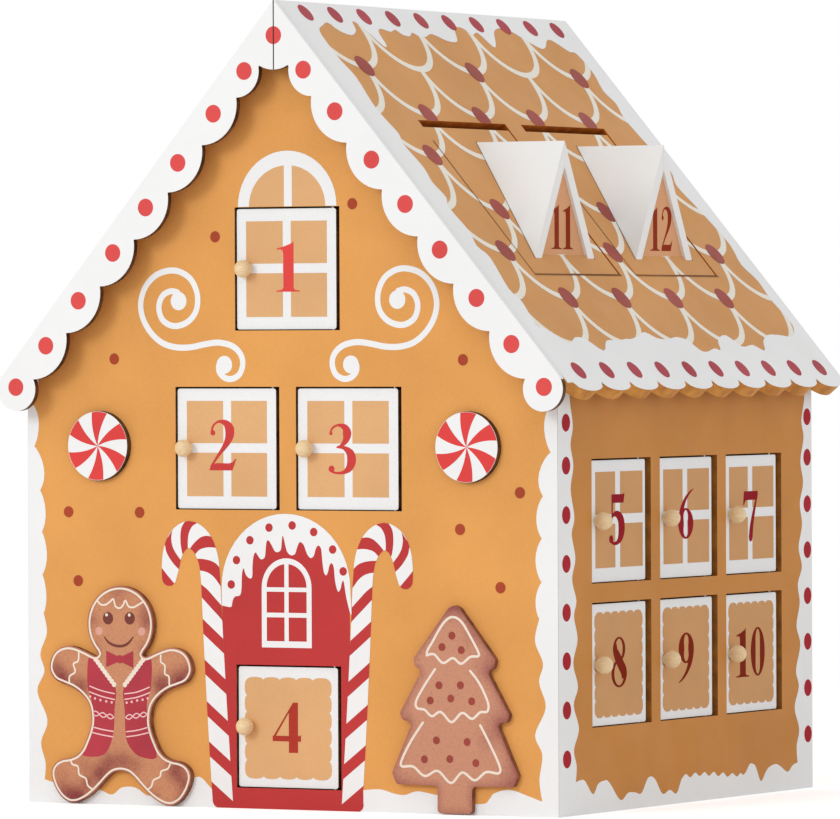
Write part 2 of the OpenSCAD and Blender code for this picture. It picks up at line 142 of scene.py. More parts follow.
def wall_of(n):
    """The wall that door n is in."""
    return 0 if n <= 4 else 1 if n <= 10 else 2 if n <= 16 else 3


def leaf_rect(n):
    """The door leaf's corners (u0, z0, u1, z1) on its wall."""
    low, high = box_mm(f"door_{n:02d}")
    u0, u1 = {
        0: (low.x, high.x), 1: (low.y - middle_y, high.y - middle_y),
        2: (-high.x, -low.x), 3: (middle_y - high.y, middle_y - low.y),
    }[wall_of(n)]
    return u0, low.z, u1, high.z


def down_slope(z):
    """How far down its roof slab a point of a hatch's face at height z lies."""
    return (ridge_h - HATCH_RECESS * math.cos(slope) - z) / math.sin(slope)


def hatch_rect(n):
    """The hatch's corners (a0, b0, a1, b1) on its roof slab."""
    low, high = box_mm(f"hatch_{n}")
    a1 = (max(high.x, -low.x) + HATCH_RECESS * math.sin(slope)) / math.cos(slope)
    return down_slope(high.z), low.y - front_y, a1, high.y - front_y


print("door 1 leaf:", [round(v, 1) for v in leaf_rect(1)])
print("hatch 11:", [round(v, 1) for v in hatch_rect(11)])

# %% [markdown]
# ## A small drawing kit
# The printed shapes are dots, boxes, scallops and lines that swell and thin like piped icing. They could be
# curve objects with a bevel, but overlapping curves flicker where two sheets share a plane.
# Here each shape is a list of corners, and one triangulation joins, cuts and clips them all at once.

# %% Dots, boxes and smooth curves
DOT_CORNERS, SMALL_DOT_CORNERS, TINY_DOT_CORNERS = 28, 20, 12


def oval(x, y, rx, ry, corners=DOT_CORNERS):
    turns = [2 * math.pi * i / corners for i in range(corners)]
    return [(x + rx * math.cos(t), y + ry * math.sin(t)) for t in turns]


def disc(x, y, r, corners=DOT_CORNERS):
    return oval(x, y, r, r, corners)


def rect(x0, y0, x1, y1):
    return [(x0, y0), (x1, y0), (x1, y1), (x0, y1)]


def smooth(points, steps=6, closed=False):
    """A smooth curve through the points. A third number, such as a width, is smoothed too."""
    count = len(points)

    def pick(k):
        return points[k % count if closed else min(max(k, 0), count - 1)]

    out = []
    for i in range(count if closed else count - 1):
        before, start, end, after = pick(i - 1), pick(i), pick(i + 1), pick(i + 2)
        for k in range(steps):
            t = k / steps
            out.append(tuple(
                (2 * t**3 - 3 * t**2 + 1) * s + (t**3 - 2 * t**2 + t) * (e - b) / 2
                + (3 * t**2 - 2 * t**3) * e + (t**3 - t**2) * (n - s) / 2
                for b, s, e, n in zip(before, start, end, after)
            ))
    return out if closed else out + [tuple(points[-1])]


print("corners of a smooth line through three points:", len(smooth([(0, 0), (5, 5), (10, 0)])))

# %% [markdown]
# A line is a chain of small triangles, so it may cross itself without trouble. Its ends are round, like icing
# where the nozzle lifts off.

# %% Piped lines
CAP_CORNERS = 16


def line(points, width=None, closed=False, caps=True):
    """A line as a chain of triangles. Its width is one number or the third number of each point."""
    count = len(points)
    halves = [(p[2] if width is None else width) / 2 for p in points]
    sections = []
    for i, point in enumerate(points):
        before = points[(i - 1) % count] if closed else points[max(i - 1, 0)]
        after = points[(i + 1) % count] if closed else points[min(i + 1, count - 1)]
        dx, dy = after[0] - before[0], after[1] - before[1]
        size = math.hypot(dx, dy) or 1.0
        nx, ny = -dy / size * halves[i], dx / size * halves[i]
        sections.append(((point[0] + nx, point[1] + ny), (point[0] - nx, point[1] - ny)))
    shapes = []
    for a, b in zip(sections, sections[1:] + (sections[:1] if closed else [])):
        shapes += [(a[0], a[1], b[1]), (a[0], b[1], b[0])]
    if caps and not closed:
        shapes += [disc(points[i][0], points[i][1], halves[i], CAP_CORNERS) for i in (0, -1)]
    return shapes


print("triangles and caps of a short line:", len(line([(0, 0), (5, 1), (10, 0)], 2)))

# %% Scallops and bumps


def arc_between(start, end, rise, steps=7):
    """Points from start to just before end, bulging to the right of the way there by rise."""
    mx, my = (start[0] + end[0]) / 2, (start[1] + end[1]) / 2
    dx, dy = end[0] - start[0], end[1] - start[1]
    size = math.hypot(dx, dy)
    out = []
    for k in range(steps):
        t = k / steps * 2 - 1
        bulge = rise * math.sqrt(max(0.0, 1 - t * t))
        out.append((mx + dx * t / 2 + dy / size * bulge, my + dy * t / 2 - dx / size * bulge))
    return out


def bumps(points, steps=10, fullness=0.85):
    """A row of rounded bumps with sharp valleys. The points alternate: valley, top, valley, top and so on."""
    out = []
    for start, top, end in zip(points[0::2], points[1::2], points[2::2]):
        dx, dy = end[0] - start[0], end[1] - start[1]
        size = math.hypot(dx, dy)
        peak = min(0.7, max(0.3, ((top[0] - start[0]) * dx + (top[1] - start[1]) * dy) / size**2))
        rise = ((top[1] - start[1]) * dx - (top[0] - start[0]) * dy) / size
        for k in range(steps):
            t = (1 - math.cos(math.pi * k / steps)) / 2
            share = t / peak if t < peak else (1 - t) / (1 - peak)
            bulge = rise * max(0.0, 1 - (1 - share) ** 2) ** fullness
            out.append((start[0] + dx * t - dy / size * bulge, start[1] + dy * t + dx / size * bulge))
    return out + [points[-1]]


def scalloped_box(x0, y0, x1, y1, across, up, rise):
    """A box whose edges bulge out in small scallops, like a butter biscuit."""
    out = []
    for ax, ay, bx, by, lobes in (
        (x0, y0, x1, y0, across), (x1, y0, x1, y1, up), (x1, y1, x0, y1, across), (x0, y1, x0, y0, up)
    ):
        for i in range(lobes):
            s = (ax + (bx - ax) * i / lobes, ay + (by - ay) * i / lobes)
            e = (ax + (bx - ax) * (i + 1) / lobes, ay + (by - ay) * (i + 1) / lobes)
            out += arc_between(s, e, rise)
    return out


print("corners of a small biscuit:", len(scalloped_box(0, 0, 40, 40, 5, 5, 1.2)))

# %% [markdown]
# What has the same board and finish becomes one sheet. Where two inks overlap, the upper one lies a few
# hundredths of a millimetre higher, so they never flicker.

# %% Fill shapes and lay them on a board
LIFTS = [0.0, 0.05, 0.09, 0.13, 0.17]
INSIDE_ONLY, WELD = 1, 1e-4
SMALLEST_AREA = 1e-6
sheets = {}


def area_of(shape):
    return sum(p[0] * q[1] - q[0] * p[1] for p, q in zip(shape, shape[1:] + shape[:1])) / 2


def fill(shapes, cuts=(), within=()):
    """Corners and triangles that cover the shapes, without the cuts and only within the last outlines."""
    points, faces, kinds = [], [], []
    for kind, group in enumerate((shapes, cuts, within)):
        for shape in map(list, group):
            size = area_of(shape)
            if abs(size) < SMALLEST_AREA:
                continue
            faces.append(list(range(len(points), len(points) + len(shape))))
            points += [Vector(p[:2]) for p in (shape if size > 0 else shape[::-1])]
            kinds.append(kind)
    spots, _, triangles, _, _, sources = delaunay_2d_cdt(points, [], faces, INSIDE_ONLY, WELD)
    kept = []
    for triangle, source in zip(triangles, sources):
        held = {kinds[s] for s in source}
        if 0 in held and 1 not in held and (not within or 2 in held):
            kept.append(triangle)
    used = sorted({i for triangle in kept for i in triangle})
    place_of = {old: new for new, old in enumerate(used)}
    return [spots[i] for i in used], [[place_of[i] for i in triangle] for triangle in kept]


def lay(sheet, body, finish, place, layer, shapes, cuts=(), within=(), slot=None):
    """Adds shapes to a sheet of one finish that lies on a board, layer steps off its face."""
    spots, triangles = fill(shapes, cuts, within)
    held = sheets.setdefault(sheet, {"body": body, "finish": finish, "slot": slot, "spots": [], "faces": []})
    start = len(held["spots"])
    held["spots"] += [place(p.x, p.y, LIFTS[layer]) * MM for p in spots]
    base = place(0, 0, 0)
    right, up, out = place(1, 0, 0) - base, place(0, 1, 0) - base, place(0, 0, 1) - base
    turned = right.cross(up).dot(out) < 0
    held["faces"] += [[start + i for i in (t[::-1] if turned else t)] for t in triangles]


spots, triangles = fill([rect(0, 0, 10, 10), disc(10, 5, 3)], cuts=[rect(2, 2, 4, 4)])
print("test fill:", len(spots), "corners,", len(triangles), "triangles")

# %% [markdown]
# ## Finishes
# A printed board isn't one flat colour: ink soaks into the wood, so its tone drifts over centimetres and its
# surface keeps the fine pores. A laser leaves the cut edges brown. Each finish is a small node tree that does
# this from the piece's own coordinates, so no picture is needed and the pattern moves with a door.

# %% Node helpers


def node(owner, kind, inputs=None, **settings):
    """A shader node of a finish or of the world. An input is a value or another node's output."""
    made = owner.node_tree.nodes.new("ShaderNode" + kind)
    for key, value in settings.items():
        setattr(made, key, value)
    for key, value in (inputs or {}).items():
        if isinstance(value, bpy.types.NodeSocket):
            owner.node_tree.links.new(value, made.inputs[key])
        else:
            made.inputs[key].default_value = value
    return made


def calculate(owner, operation, *values, **settings):
    """A sum with numbers, such as ADD or GREATER_THAN."""
    return node(owner, "Math", dict(enumerate(values)), operation=operation, **settings).outputs["Value"]


def measure(finish, operation, *vectors):
    """A number from vectors, such as LENGTH or DOT_PRODUCT."""
    return node(finish, "VectorMath", dict(enumerate(vectors)), operation=operation).outputs["Value"]


def coordinate(finish, axis, kind="Object"):
    """One coordinate of the place, or with kind Normal of the direction that the face looks in."""
    return node(finish, "SeparateXYZ", {0: node(finish, "TexCoord").outputs[kind]}).outputs[axis]


def noise(finish, scale, detail=3.0, stretch=(1, 1, 1), roughness=0.5):
    where = node(finish, "TexCoord").outputs["Object"]
    if stretch != (1, 1, 1):
        where = node(finish, "Mapping", {"Vector": where, "Scale": stretch}).outputs["Vector"]
    return node(finish, "TexNoise", {
        "Vector": where, "Scale": scale, "Detail": detail, "Roughness": roughness
    }).outputs["Fac"]


def spread(finish, value, low, high, to_low=0.0, to_high=1.0):
    return node(finish, "MapRange", {
        "Value": value, "From Min": low, "From Max": high, "To Min": to_low, "To Max": to_high
    }).outputs["Result"]


def rgb(colour):
    return (*colour, 1.0)


def blend(finish, share, first, second, kind="MIX"):
    first, second = (rgb(c) if isinstance(c, tuple) else c for c in (first, second))
    mixed = node(finish, "MixRGB", {"Fac": share, "Color1": first, "Color2": second}, blend_type=kind)
    return mixed.outputs["Color"]


def faces_towards(finish, direction, least=0.5):
    """1 on the faces that look along direction, 0 on the others."""
    normal = node(finish, "TexCoord").outputs["Normal"]
    return calculate(finish, "GREATER_THAN", measure(finish, "DOT_PRODUCT", normal, direction), least)


print("white with its alpha:", rgb((1, 1, 1)))

# %% Start a finish and feed its shader
PAINT_DEPTH = 0.0002


def start_finish(name, roughness, specular=0.15):
    finish = bpy.data.materials.new(name)
    finish.use_nodes = True
    shader = finish.node_tree.nodes["Principled BSDF"]
    shader.inputs["Roughness"].default_value = roughness
    shader.inputs["Specular IOR Level"].default_value = specular
    return finish, shader


def colour_in(finish, shader, colour):
    finish.node_tree.links.new(colour, shader.inputs["Base Color"])


def roughness_in(finish, shader, value):
    finish.node_tree.links.new(value, shader.inputs["Roughness"])


def patchy_gloss(finish, shader, low, high, scale=60):
    """A sheen that changes a little from place to place."""
    roughness_in(finish, shader, spread(finish, noise(finish, scale, 3), 0.3, 0.7, low, high))


def roughen(finish, shader, height, strength, distance):
    bump = node(finish, "Bump", {"Height": height, "Strength": strength, "Distance": distance})
    finish.node_tree.links.new(bump.outputs["Normal"], shader.inputs["Normal"])


def fine_grain(finish, shader, scale=1000, strength=0.12):
    """The wood's pores, which paint and ink don't quite fill."""
    roughen(finish, shader, noise(finish, scale, 3), strength, PAINT_DEPTH)


print("depth of the grain in mm:", PAINT_DEPTH / MM)

# %% Printed ink and icing
CLOUD_SCALE, PORE_SCALE = 22, 1400
GLOSS_DRIFT = 0.07
ICING = (0.915, 0.914, 0.911)
ICING_TONE = (0.015, 0.02)


def tone(finish, colour, drift, grain=0.05):
    """A colour that drifts a little over the board, with fine pores in it."""
    darker = tuple(c * (1 - drift) for c in colour)
    lighter = tuple(min(1.0, c * (1 + drift)) for c in colour)
    clouds = spread(finish, noise(finish, CLOUD_SCALE, 4), 0.35, 0.65)
    pores = spread(finish, noise(finish, PORE_SCALE, 2), 0.3, 0.62, 1 - grain, 1.0)
    pore_grey = node(finish, "CombineColor", {0: pores, 1: pores, 2: pores}).outputs["Color"]
    return blend(finish, 1.0, blend(finish, clouds, darker, lighter), pore_grey, "MULTIPLY")


def printed(name, colour, drift=0.05, grain=0.05, roughness=0.55, specular=0.15):
    finish, shader = start_finish(name, roughness, specular)
    colour_in(finish, shader, tone(finish, colour, drift, grain))
    patchy_gloss(finish, shader, roughness - GLOSS_DRIFT, roughness + GLOSS_DRIFT)
    fine_grain(finish, shader, 1100)
    return finish


icing_white = printed("icing_white", ICING, *ICING_TONE, 0.5)
piped_cream = printed("piped_cream", (0.90, 0.85, 0.75), 0.02, 0.02, 0.5)
piped_vanilla = printed("piped_vanilla", (0.92, 0.79, 0.67), 0.03, 0.03, 0.5)
pane_front = printed("pane_front", (0.78, 0.44, 0.20), 0.04)
# The side doors' panes: the front's tan painted darker, as shade.
pane_side_painted_shade = printed("pane_side_painted_shade", (0.665, 0.343, 0.139), 0.04)
dormer_tan = printed("dormer_tan", (0.76, 0.385, 0.19), 0.04)
lacquer_red = printed("lacquer_red", (0.55, 0.043, 0.043), grain=0.06)
sweet_red = printed("sweet_red", (0.78, 0.06, 0.055), grain=0.06)
side_red = printed("side_red", (0.45, 0.022, 0.035), grain=0.06, specular=0.04)
# Scorch with painted shade: the dark lines beside the hatch cuts and along the dormers' foot.
scorch_and_painted_shade = printed("scorch_and_painted_shade", (0.24, 0.09, 0.022), 0.15, 0.1)
brick_dot = printed("brick_dot", (0.42, 0.062, 0.024), 0.06, 0.08)
mauve_dot = printed("mauve_dot", (0.39, 0.078, 0.062), 0.12, 0.12)
rim_pink = printed("rim_pink", (0.46, 0.055, 0.075), 0.10, 0.1)
# All numbers share one red ink. The darker copies, crimson and maroon on the side doors and rust on the
# dormers, are painted shade; the front's copies differ a little from door to door.
NUMBER_REDS_LIT_AND_SHADED = {
    "bright": printed("number_bright_red", (0.84, 0.068, 0.058), 0.05, 0.07),
    "red": printed("number_red", (0.64, 0.052, 0.047), 0.06, 0.08),
    "brick": printed("number_brick", (0.46, 0.045, 0.028), 0.06, 0.08, specular=0.08),
    "crimson": printed("number_crimson", (0.34, 0.012, 0.022), 0.07, 0.09, specular=0.02),
    "maroon": printed("number_maroon", (0.24, 0.02, 0.006), 0.09, 0.1, specular=0.02),
    "rust": printed("number_rust", (0.31, 0.033, 0.009), 0.06, 0.08, specular=0.03),
}
print("number inks:", list(NUMBER_REDS_LIT_AND_SHADED))

# %% [markdown]
# The boards are plywood. The laser that cut them burnt their edges brown. On the side walls the cut edges are
# painted lighter than on the front, as light falling into the door gaps, and in the narrow slots over the
# hatches they are painted a glowing red, as the light bounced inside the slots. One material per side of a
# board would need the mesh to be split, so one finish looks at the direction of each face instead.

# %% Boards with a printed face and burnt edges
PLY_LIGHT, PLY_DARK = (0.66, 0.43, 0.235), (0.47, 0.27, 0.13)
BURNT = (0.045, 0.018, 0.008)
BURNT_EDGE = ((0.15, 0.062, 0.022), BURNT)
# A lighter copy of the burnt edge for the side walls: painted light falling into the door gaps.
BURNT_EDGE_PAINTED_LIT = ((0.48, 0.185, 0.032), (0.31, 0.11, 0.02))
LEAF_EDGE = ((0.30, 0.15, 0.06), (0.12, 0.05, 0.02))
ROOF_EDGE = ((0.72, 0.33, 0.075), (0.52, 0.205, 0.04))
# Painted glow: the cut edges in the narrow slots over the hatches, coloured as the light bounced inside them.
SLOT_PAINTED_GLOW = ((0.62, 0.145, 0.012), (0.44, 0.092, 0.008))
WALL_GRAIN, ROOF_GRAIN = (12, 12, 1), (1, 12, 1)


def patchy(finish, colours, scale=160):
    """Two browns in patches, as a laser or an oven leaves them."""
    return blend(finish, spread(finish, noise(finish, scale, 4), 0.35, 0.65), *colours)


def ply_colour(finish, grain, scale=90):
    """Long fibres: noise that is squeezed on two axes or on one."""
    fibres = spread(finish, noise(finish, scale, 6, grain, 0.65), 0.38, 0.66)
    return blend(finish, fibres, PLY_LIGHT, PLY_DARK)


def cut_board(name, colour, outward, edge, grain=WALL_GRAIN, drift=0.05, iced_before=None, painted_glow_above=None):
    """A board printed on its outer face, bare behind, with the brown edges that the laser leaves.

    The face is iced where y is less than iced_before, and above the given slot height the edges get painted
    glow.
    """
    finish, shader = start_finish(name, 0.58)
    edges = patchy(finish, edge)
    # Painted bounced light on the edges in the slots over the hatches.
    if painted_glow_above is not None:
        high = calculate(finish, "GREATER_THAN", coordinate(finish, "Z"), painted_glow_above * MM)
        edges = blend(finish, high, edges, patchy(finish, SLOT_PAINTED_GLOW))
    behind = faces_towards(finish, tuple(-v for v in outward))
    edges = blend(finish, behind, edges, ply_colour(finish, grain))
    inked = tone(finish, colour, drift)
    if iced_before is not None:
        rim = calculate(finish, "LESS_THAN", coordinate(finish, "Y"), iced_before * MM)
        inked = blend(finish, rim, inked, ICING)
    colour_in(finish, shader, blend(finish, faces_towards(finish, outward), edges, inked))
    patchy_gloss(finish, shader, 0.5, 0.66)
    fine_grain(finish, shader)
    return finish


def give(name, finish):
    """Puts a finish in a CAD node's material slots."""
    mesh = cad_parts[name].data
    if not mesh.materials:
        mesh.materials.append(finish)
    for i in range(len(mesh.materials)):
        mesh.materials[i] = finish


print("material slots of the front panel:", len(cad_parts["front_panel"].data.materials))

# %% [markdown]
# The bargeboards carry a row of red dots on their front face. The boards are the foremost piece of the house,
# so a sheet on them would stand out of its box. Their dots are part of the finish instead: the distance to
# the nearest dot's middle, measured in the board's own coordinates, says where the ink is red. The upper edge
# is painted white like the roof, and where the two boards meet the saw cut stays dark.

# %% Bargeboard finish with its row of dots
BOARD_DOTS = [34.2, 59.2, 88.1, 114.5, 141.5, 170.0, 197.0, 222.0]
TOP_DOT_DROP = 16.0
DOT_INSET = 9.0
DOT_R, DOT_BLUR = 4.05, 0.1
SEAM_HALF = 0.3
BOARD_RED = (0.75, 0.08, 0.075)


def board_dots(finish, across):
    """1 inside the dots of a bargeboard, 0 outside."""
    middles = [(0.0, ridge_h - TOP_DOT_DROP)]
    for a in BOARD_DOTS:
        x = a * math.cos(slope) - DOT_INSET * math.sin(slope)
        middles.append((x, ridge_h - a * math.sin(slope) - DOT_INSET * math.cos(slope)))
    flat = node(finish, "CombineXYZ", {"X": across, "Z": coordinate(finish, "Z")}).outputs["Vector"]
    distances = [measure(finish, "DISTANCE", flat, (x * MM, 0, z * MM)) for x, z in middles]
    nearest = distances[0]
    for distance in distances[1:]:
        nearest = calculate(finish, "MINIMUM", nearest, distance)
    return spread(finish, nearest, (DOT_R - DOT_BLUR) * MM, (DOT_R + DOT_BLUR) * MM, 1.0, 0.0)


def upper_edge(finish, least=0.97):
    """1 on the upper edges of both bargeboards, 0 on the rest."""
    across = calculate(finish, "ABSOLUTE", coordinate(finish, "X", "Normal"))
    up = coordinate(finish, "Z", "Normal")
    outwards = node(finish, "CombineXYZ", {"X": across, "Z": up}).outputs["Vector"]
    facing = measure(finish, "DOT_PRODUCT", outwards, (math.sin(slope), 0, math.cos(slope)))
    return calculate(finish, "GREATER_THAN", facing, least)


def bargeboard_finish():
    finish, shader = start_finish("bargeboard_icing", 0.5)
    across = calculate(finish, "ABSOLUTE", coordinate(finish, "X"))
    white, red = tone(finish, ICING, *ICING_TONE), tone(finish, BOARD_RED, 0.05, 0.06)
    face = blend(finish, board_dots(finish, across), white, red)
    face = blend(finish, calculate(finish, "LESS_THAN", across, SEAM_HALF * MM), face, BURNT)
    edges = blend(finish, upper_edge(finish), patchy(finish, BURNT_EDGE), ICING)
    edges = blend(finish, faces_towards(finish, (0, 1, 0)), edges, ply_colour(finish, WALL_GRAIN))
    colour_in(finish, shader, blend(finish, faces_towards(finish, (0, -1, 0)), edges, face))
    fine_grain(finish, shader, strength=0.1)
    return finish


give("bargeboards", bargeboard_finish())
print("dots on each bargeboard:", len(BOARD_DOTS))

# %% [markdown]
# ## Boards, doors and knobs
# The walls are caramel, the roof is a paler biscuit brown, and each door leaf is white on its face. The side
# walls carry the front's caramel painted darker, as shade. The CAD shapes are right as they are, so they only
# get finishes. A board's finish needs to know which way is outside, because only that face is printed.

# %% Finishes of the walls and doors
OUTWARD = {0: (0, -1, 0), 1: (1, 0, 0), 2: (0, 1, 0), 3: (-1, 0, 0)}
WALLS = {0: "front_panel", 1: "right_wall", 2: "back_panel", 3: "left_wall"}
# One caramel print on all walls: the side walls' copy is painted darker, as shade.
CARAMEL, CARAMEL_PAINTED_SHADE = (0.81, 0.372, 0.1), (0.62, 0.258, 0.06)

leaf_finishes = {}
for wall, name in WALLS.items():
    # Side walls: painted shade in the caramel, painted light on the cut edges.
    colour, edge = (CARAMEL_PAINTED_SHADE, BURNT_EDGE_PAINTED_LIT) if wall % 2 else (CARAMEL, BURNT_EDGE)
    give(name, cut_board(f"caramel_board_{name}", colour, OUTWARD[wall], edge))
    leaf_finishes[wall] = cut_board(f"door_leaf_white_{name}", ICING, OUTWARD[wall], LEAF_EDGE, drift=0.015)
for n in DOORS:
    give(f"door_{n:02d}", leaf_finishes[wall_of(n)])
print("walls:", len(WALLS), "doors:", len(DOORS))

# %% Finishes of the roof and its hatches
ROOFS = ((1, "roof_right", (11, 12)), (-1, "roof_left", (23, 24)))
BISCUIT_ROOF = (0.71, 0.345, 0.122)
ICED_FRONT = 2.0

hatch_foot_z = box_mm("hatch_11")[0].z
for side, name, hatches in ROOFS:
    up_out = (side * math.sin(slope), 0, math.cos(slope))
    give(name, cut_board(
        f"biscuit_board_{name}", BISCUIT_ROOF, up_out, ROOF_EDGE, ROOF_GRAIN,
        iced_before=slab_low.y + ICED_FRONT, painted_glow_above=hatch_foot_z,
    ))
    hatch_finish = cut_board(f"hatch_board_{name}", BISCUIT_ROOF, up_out, BURNT_EDGE, ROOF_GRAIN)
    for n in hatches:
        give(f"hatch_{n}", hatch_finish)
print("roof slabs:", len(ROOFS), "hatches:", len(HATCHES))

# %% [markdown]
# The knobs are turned from beech: a pale, slightly glossy wood with short dark flecks. The pins are plain
# steel wire, drawn lengthwise. The shelves inside are bare plywood. The dormers are painted white all over.
# The narrow ends of their plates are painted lighter and warmer, a painted highlight, and the plates a little
# bluer, to cancel the warm light that the roof bounces onto them.

# %% Finishes of knobs, pins, shelves and dormers
SHELF_GRAIN = (1, 9, 9)


def beech():
    finish, shader = start_finish("turned_beech", 0.42, 0.45)
    fibres = spread(finish, noise(finish, 420, 5, (1, 1, 6), 0.6), 0.36, 0.68)
    flecks = spread(finish, noise(finish, 1500, 2, (1, 1, 5)), 0.60, 0.72, 0.0, 0.35)
    body = blend(finish, fibres, (0.95, 0.73, 0.42), (0.80, 0.56, 0.31))
    colour_in(finish, shader, blend(finish, flecks, body, (0.42, 0.235, 0.11)))
    roughness_in(finish, shader, spread(finish, fibres, 0, 1, 0.36, 0.5))
    roughen(finish, shader, fibres, 0.15, 0.0003)
    return finish


def plywood():
    finish, shader = start_finish("bare_plywood", 0.7)
    colour_in(finish, shader, ply_colour(finish, SHELF_GRAIN, 60))
    roughen(finish, shader, noise(finish, 500, 4, (1, 6, 6)), 0.2, 0.0003)
    return finish


def steel_wire():
    finish, shader = start_finish("drawn_steel", 0.32)
    shader.inputs["Metallic"].default_value = 1.0
    scratches = noise(finish, 2200, 3, (1, 1, 0.05))
    colour_in(finish, shader, blend(finish, scratches, (0.62, 0.61, 0.60), (0.42, 0.41, 0.40)))
    roughness_in(finish, shader, spread(finish, scratches, 0.3, 0.7, 0.25, 0.42))
    return finish


def dormer_paint():
    finish, shader = start_finish("dormer_white", 0.5)
    # Painted highlight on the plates' front ends; the bluish plates cancel warm light bounced from the roof.
    right_lit_end, left_lit_end = (faces_towards(finish, (x, 0, 0), 0.9) for x in (1, -1))
    ends = calculate(finish, "MAXIMUM", right_lit_end, left_lit_end)
    plates = tone(finish, (0.875, 0.90, 0.905), *ICING_TONE)
    colour_in(finish, shader, blend(finish, ends, plates, (0.93, 0.925, 0.91)))
    fine_grain(finish, shader, 900, 0.1)
    return finish


dormer_white, knob_beech, shelf_ply, pin_steel = dormer_paint(), beech(), plywood(), steel_wire()
for n in DOORS:
    give(f"knob_{n:02d}", knob_beech)
for n in HATCHES:
    give(f"dormer_{n}", dormer_white)
give("inner_boards", shelf_ply)
give("base_board", shelf_ply)
give("hinge_pins", pin_steel)
print("knobs:", len(DOORS), "dormers:", len(HATCHES))

# %% [markdown]
# ## Numerals
# The numbers are printed in a bookish face with fat stems and hairlines. A font file can't be read here, and
# the built-in one is plain, so each digit is drawn: strokes whose width swells and thins, plus a few flat
# serifs. Each is one unit high, and comes with its width, so that two digits can stand side by side.

# %% The digits 0 to 4
HAIRLINE = 0.035


def ring(cx, cy, rx, ry, thick):
    """An oval stroke, fat at its sides and thin at its top and bottom."""
    points = []
    for i in range(36):
        t = 2 * math.pi * i / 36
        width = HAIRLINE + (thick - HAIRLINE) * abs(math.cos(t)) ** 1.4
        points.append((cx + (rx - width / 2) * math.cos(t), cy + (ry - width / 2) * math.sin(t), width))
    return line(points, closed=True)


def zero():
    return ring(0.29, 0.5, 0.29, 0.5, 0.2), 0.58


def one():
    stem = [
        (0.16, 0.03), (0.40, 0.03), (0.40, 1), (0.35, 0.96), (0.2, 0.905), (0.02, 0.86), (0.01, 0.83),
        (0.09, 0.845), (0.15, 0.82), (0.16, 0.76),
    ]
    foot = [
        (0, 0), (0.54, 0), (0.54, 0.022), (0.43, 0.035), (0.40, 0.07), (0.16, 0.07), (0.12, 0.035),
        (0, 0.022),
    ]
    return [stem, foot], 0.54


def two():
    curve = smooth([
        (0.07, 0.76, 0.05), (0.11, 0.89, 0.045), (0.23, 0.972, 0.05), (0.38, 0.95, 0.12), (0.475, 0.85, 0.2),
        (0.49, 0.73, 0.2), (0.45, 0.6, 0.16), (0.35, 0.45, 0.1), (0.21, 0.28, 0.06), (0.06, 0.08, 0.045),
    ])
    base = [
        (0.02, 0), (0.55, 0), (0.64, 0.23), (0.61, 0.23), (0.56, 0.17), (0.47, 0.14), (0.2, 0.145),
        (0.1, 0.13), (0.02, 0.03),
    ]
    return line(curve) + [disc(0.1, 0.75, 0.055), base], 0.64


def three():
    top = smooth([
        (0.07, 0.80, 0.04), (0.12, 0.91, 0.045), (0.25, 0.972, 0.05), (0.40, 0.93, 0.13), (0.455, 0.81, 0.19),
        (0.42, 0.67, 0.13), (0.32, 0.57, 0.06), (0.23, 0.535, 0.035),
    ])
    low = smooth([
        (0.23, 0.54, 0.035), (0.39, 0.52, 0.08), (0.52, 0.42, 0.17), (0.555, 0.28, 0.2), (0.51, 0.14, 0.16),
        (0.39, 0.045, 0.08), (0.23, 0.025, 0.045), (0.12, 0.05, 0.05), (0.09, 0.10, 0.06),
    ])
    return line(top) + line(low) + [disc(0.10, 0.105, 0.068), disc(0.09, 0.81, 0.035)], 0.66


def four():
    stem = [(0.371, 0), (0.582, 0), (0.582, 1), (0.47, 1), (0.371, 0.853)]
    slant = [(0, 0.30), (0.055, 0.30), (0.40, 0.84), (0.50, 1.0), (0.47, 1.0)]
    bar = [(0, 0.225), (0.65, 0.225), (0.65, 0.36), (0.61, 0.335), (0, 0.335)]
    return [stem, slant, bar], 0.65


print("width of a 4:", four()[1])

# %% The digits 5 to 9


def five():
    flag = [(0.15, 1.0), (0.55, 1.0), (0.63, 1.02), (0.59, 0.83), (0.15, 0.83)]
    bowl = smooth([
        (0.10, 0.51, 0.04), (0.21, 0.60, 0.08), (0.35, 0.60, 0.15), (0.48, 0.50, 0.22), (0.515, 0.33, 0.24),
        (0.47, 0.16, 0.19), (0.35, 0.05, 0.09), (0.2, 0.03, 0.06), (0.1, 0.08, 0.06),
    ])
    return [flag, rect(0.12, 0.5, 0.17, 1.0), disc(0.105, 0.115, 0.08)] + line(bowl), 0.64


def six():
    sweep = smooth([
        (0.62, 1.0, 0.015), (0.47, 0.93, 0.05), (0.28, 0.78, 0.09), (0.15, 0.58, 0.15), (0.105, 0.4, 0.19),
        (0.11, 0.3, 0.19),
    ])
    return line(sweep, caps=False) + ring(0.31, 0.31, 0.305, 0.31, 0.225), 0.63


def seven():
    bar = [
        (0.04, 1.0), (0.62, 1.0), (0.62, 0.93), (0.59, 0.82), (0.15, 0.82), (0.09, 0.79), (0.05, 0.72),
        (0.01, 0.72),
    ]
    leg = smooth([
        (0.585, 0.9, 0.045), (0.47, 0.62, 0.09), (0.37, 0.32, 0.13), (0.325, 0.09, 0.15), (0.32, 0.04, 0.14),
    ])
    return [bar] + line(leg), 0.63


def eight():
    cross = smooth([
        (0.155, 0.86, 0.12), (0.165, 0.73, 0.18), (0.25, 0.60, 0.23), (0.38, 0.45, 0.24), (0.475, 0.31, 0.21),
        (0.49, 0.17, 0.15),
    ])
    rings = ring(0.31, 0.76, 0.24, 0.24, 0.10) + ring(0.31, 0.275, 0.30, 0.275, 0.11)
    return rings + line(cross, caps=False), 0.62


def nine():
    shapes, wide = six()
    return [[(0.62 - x, 1 - y) for x, y in shape] for shape in shapes], wide


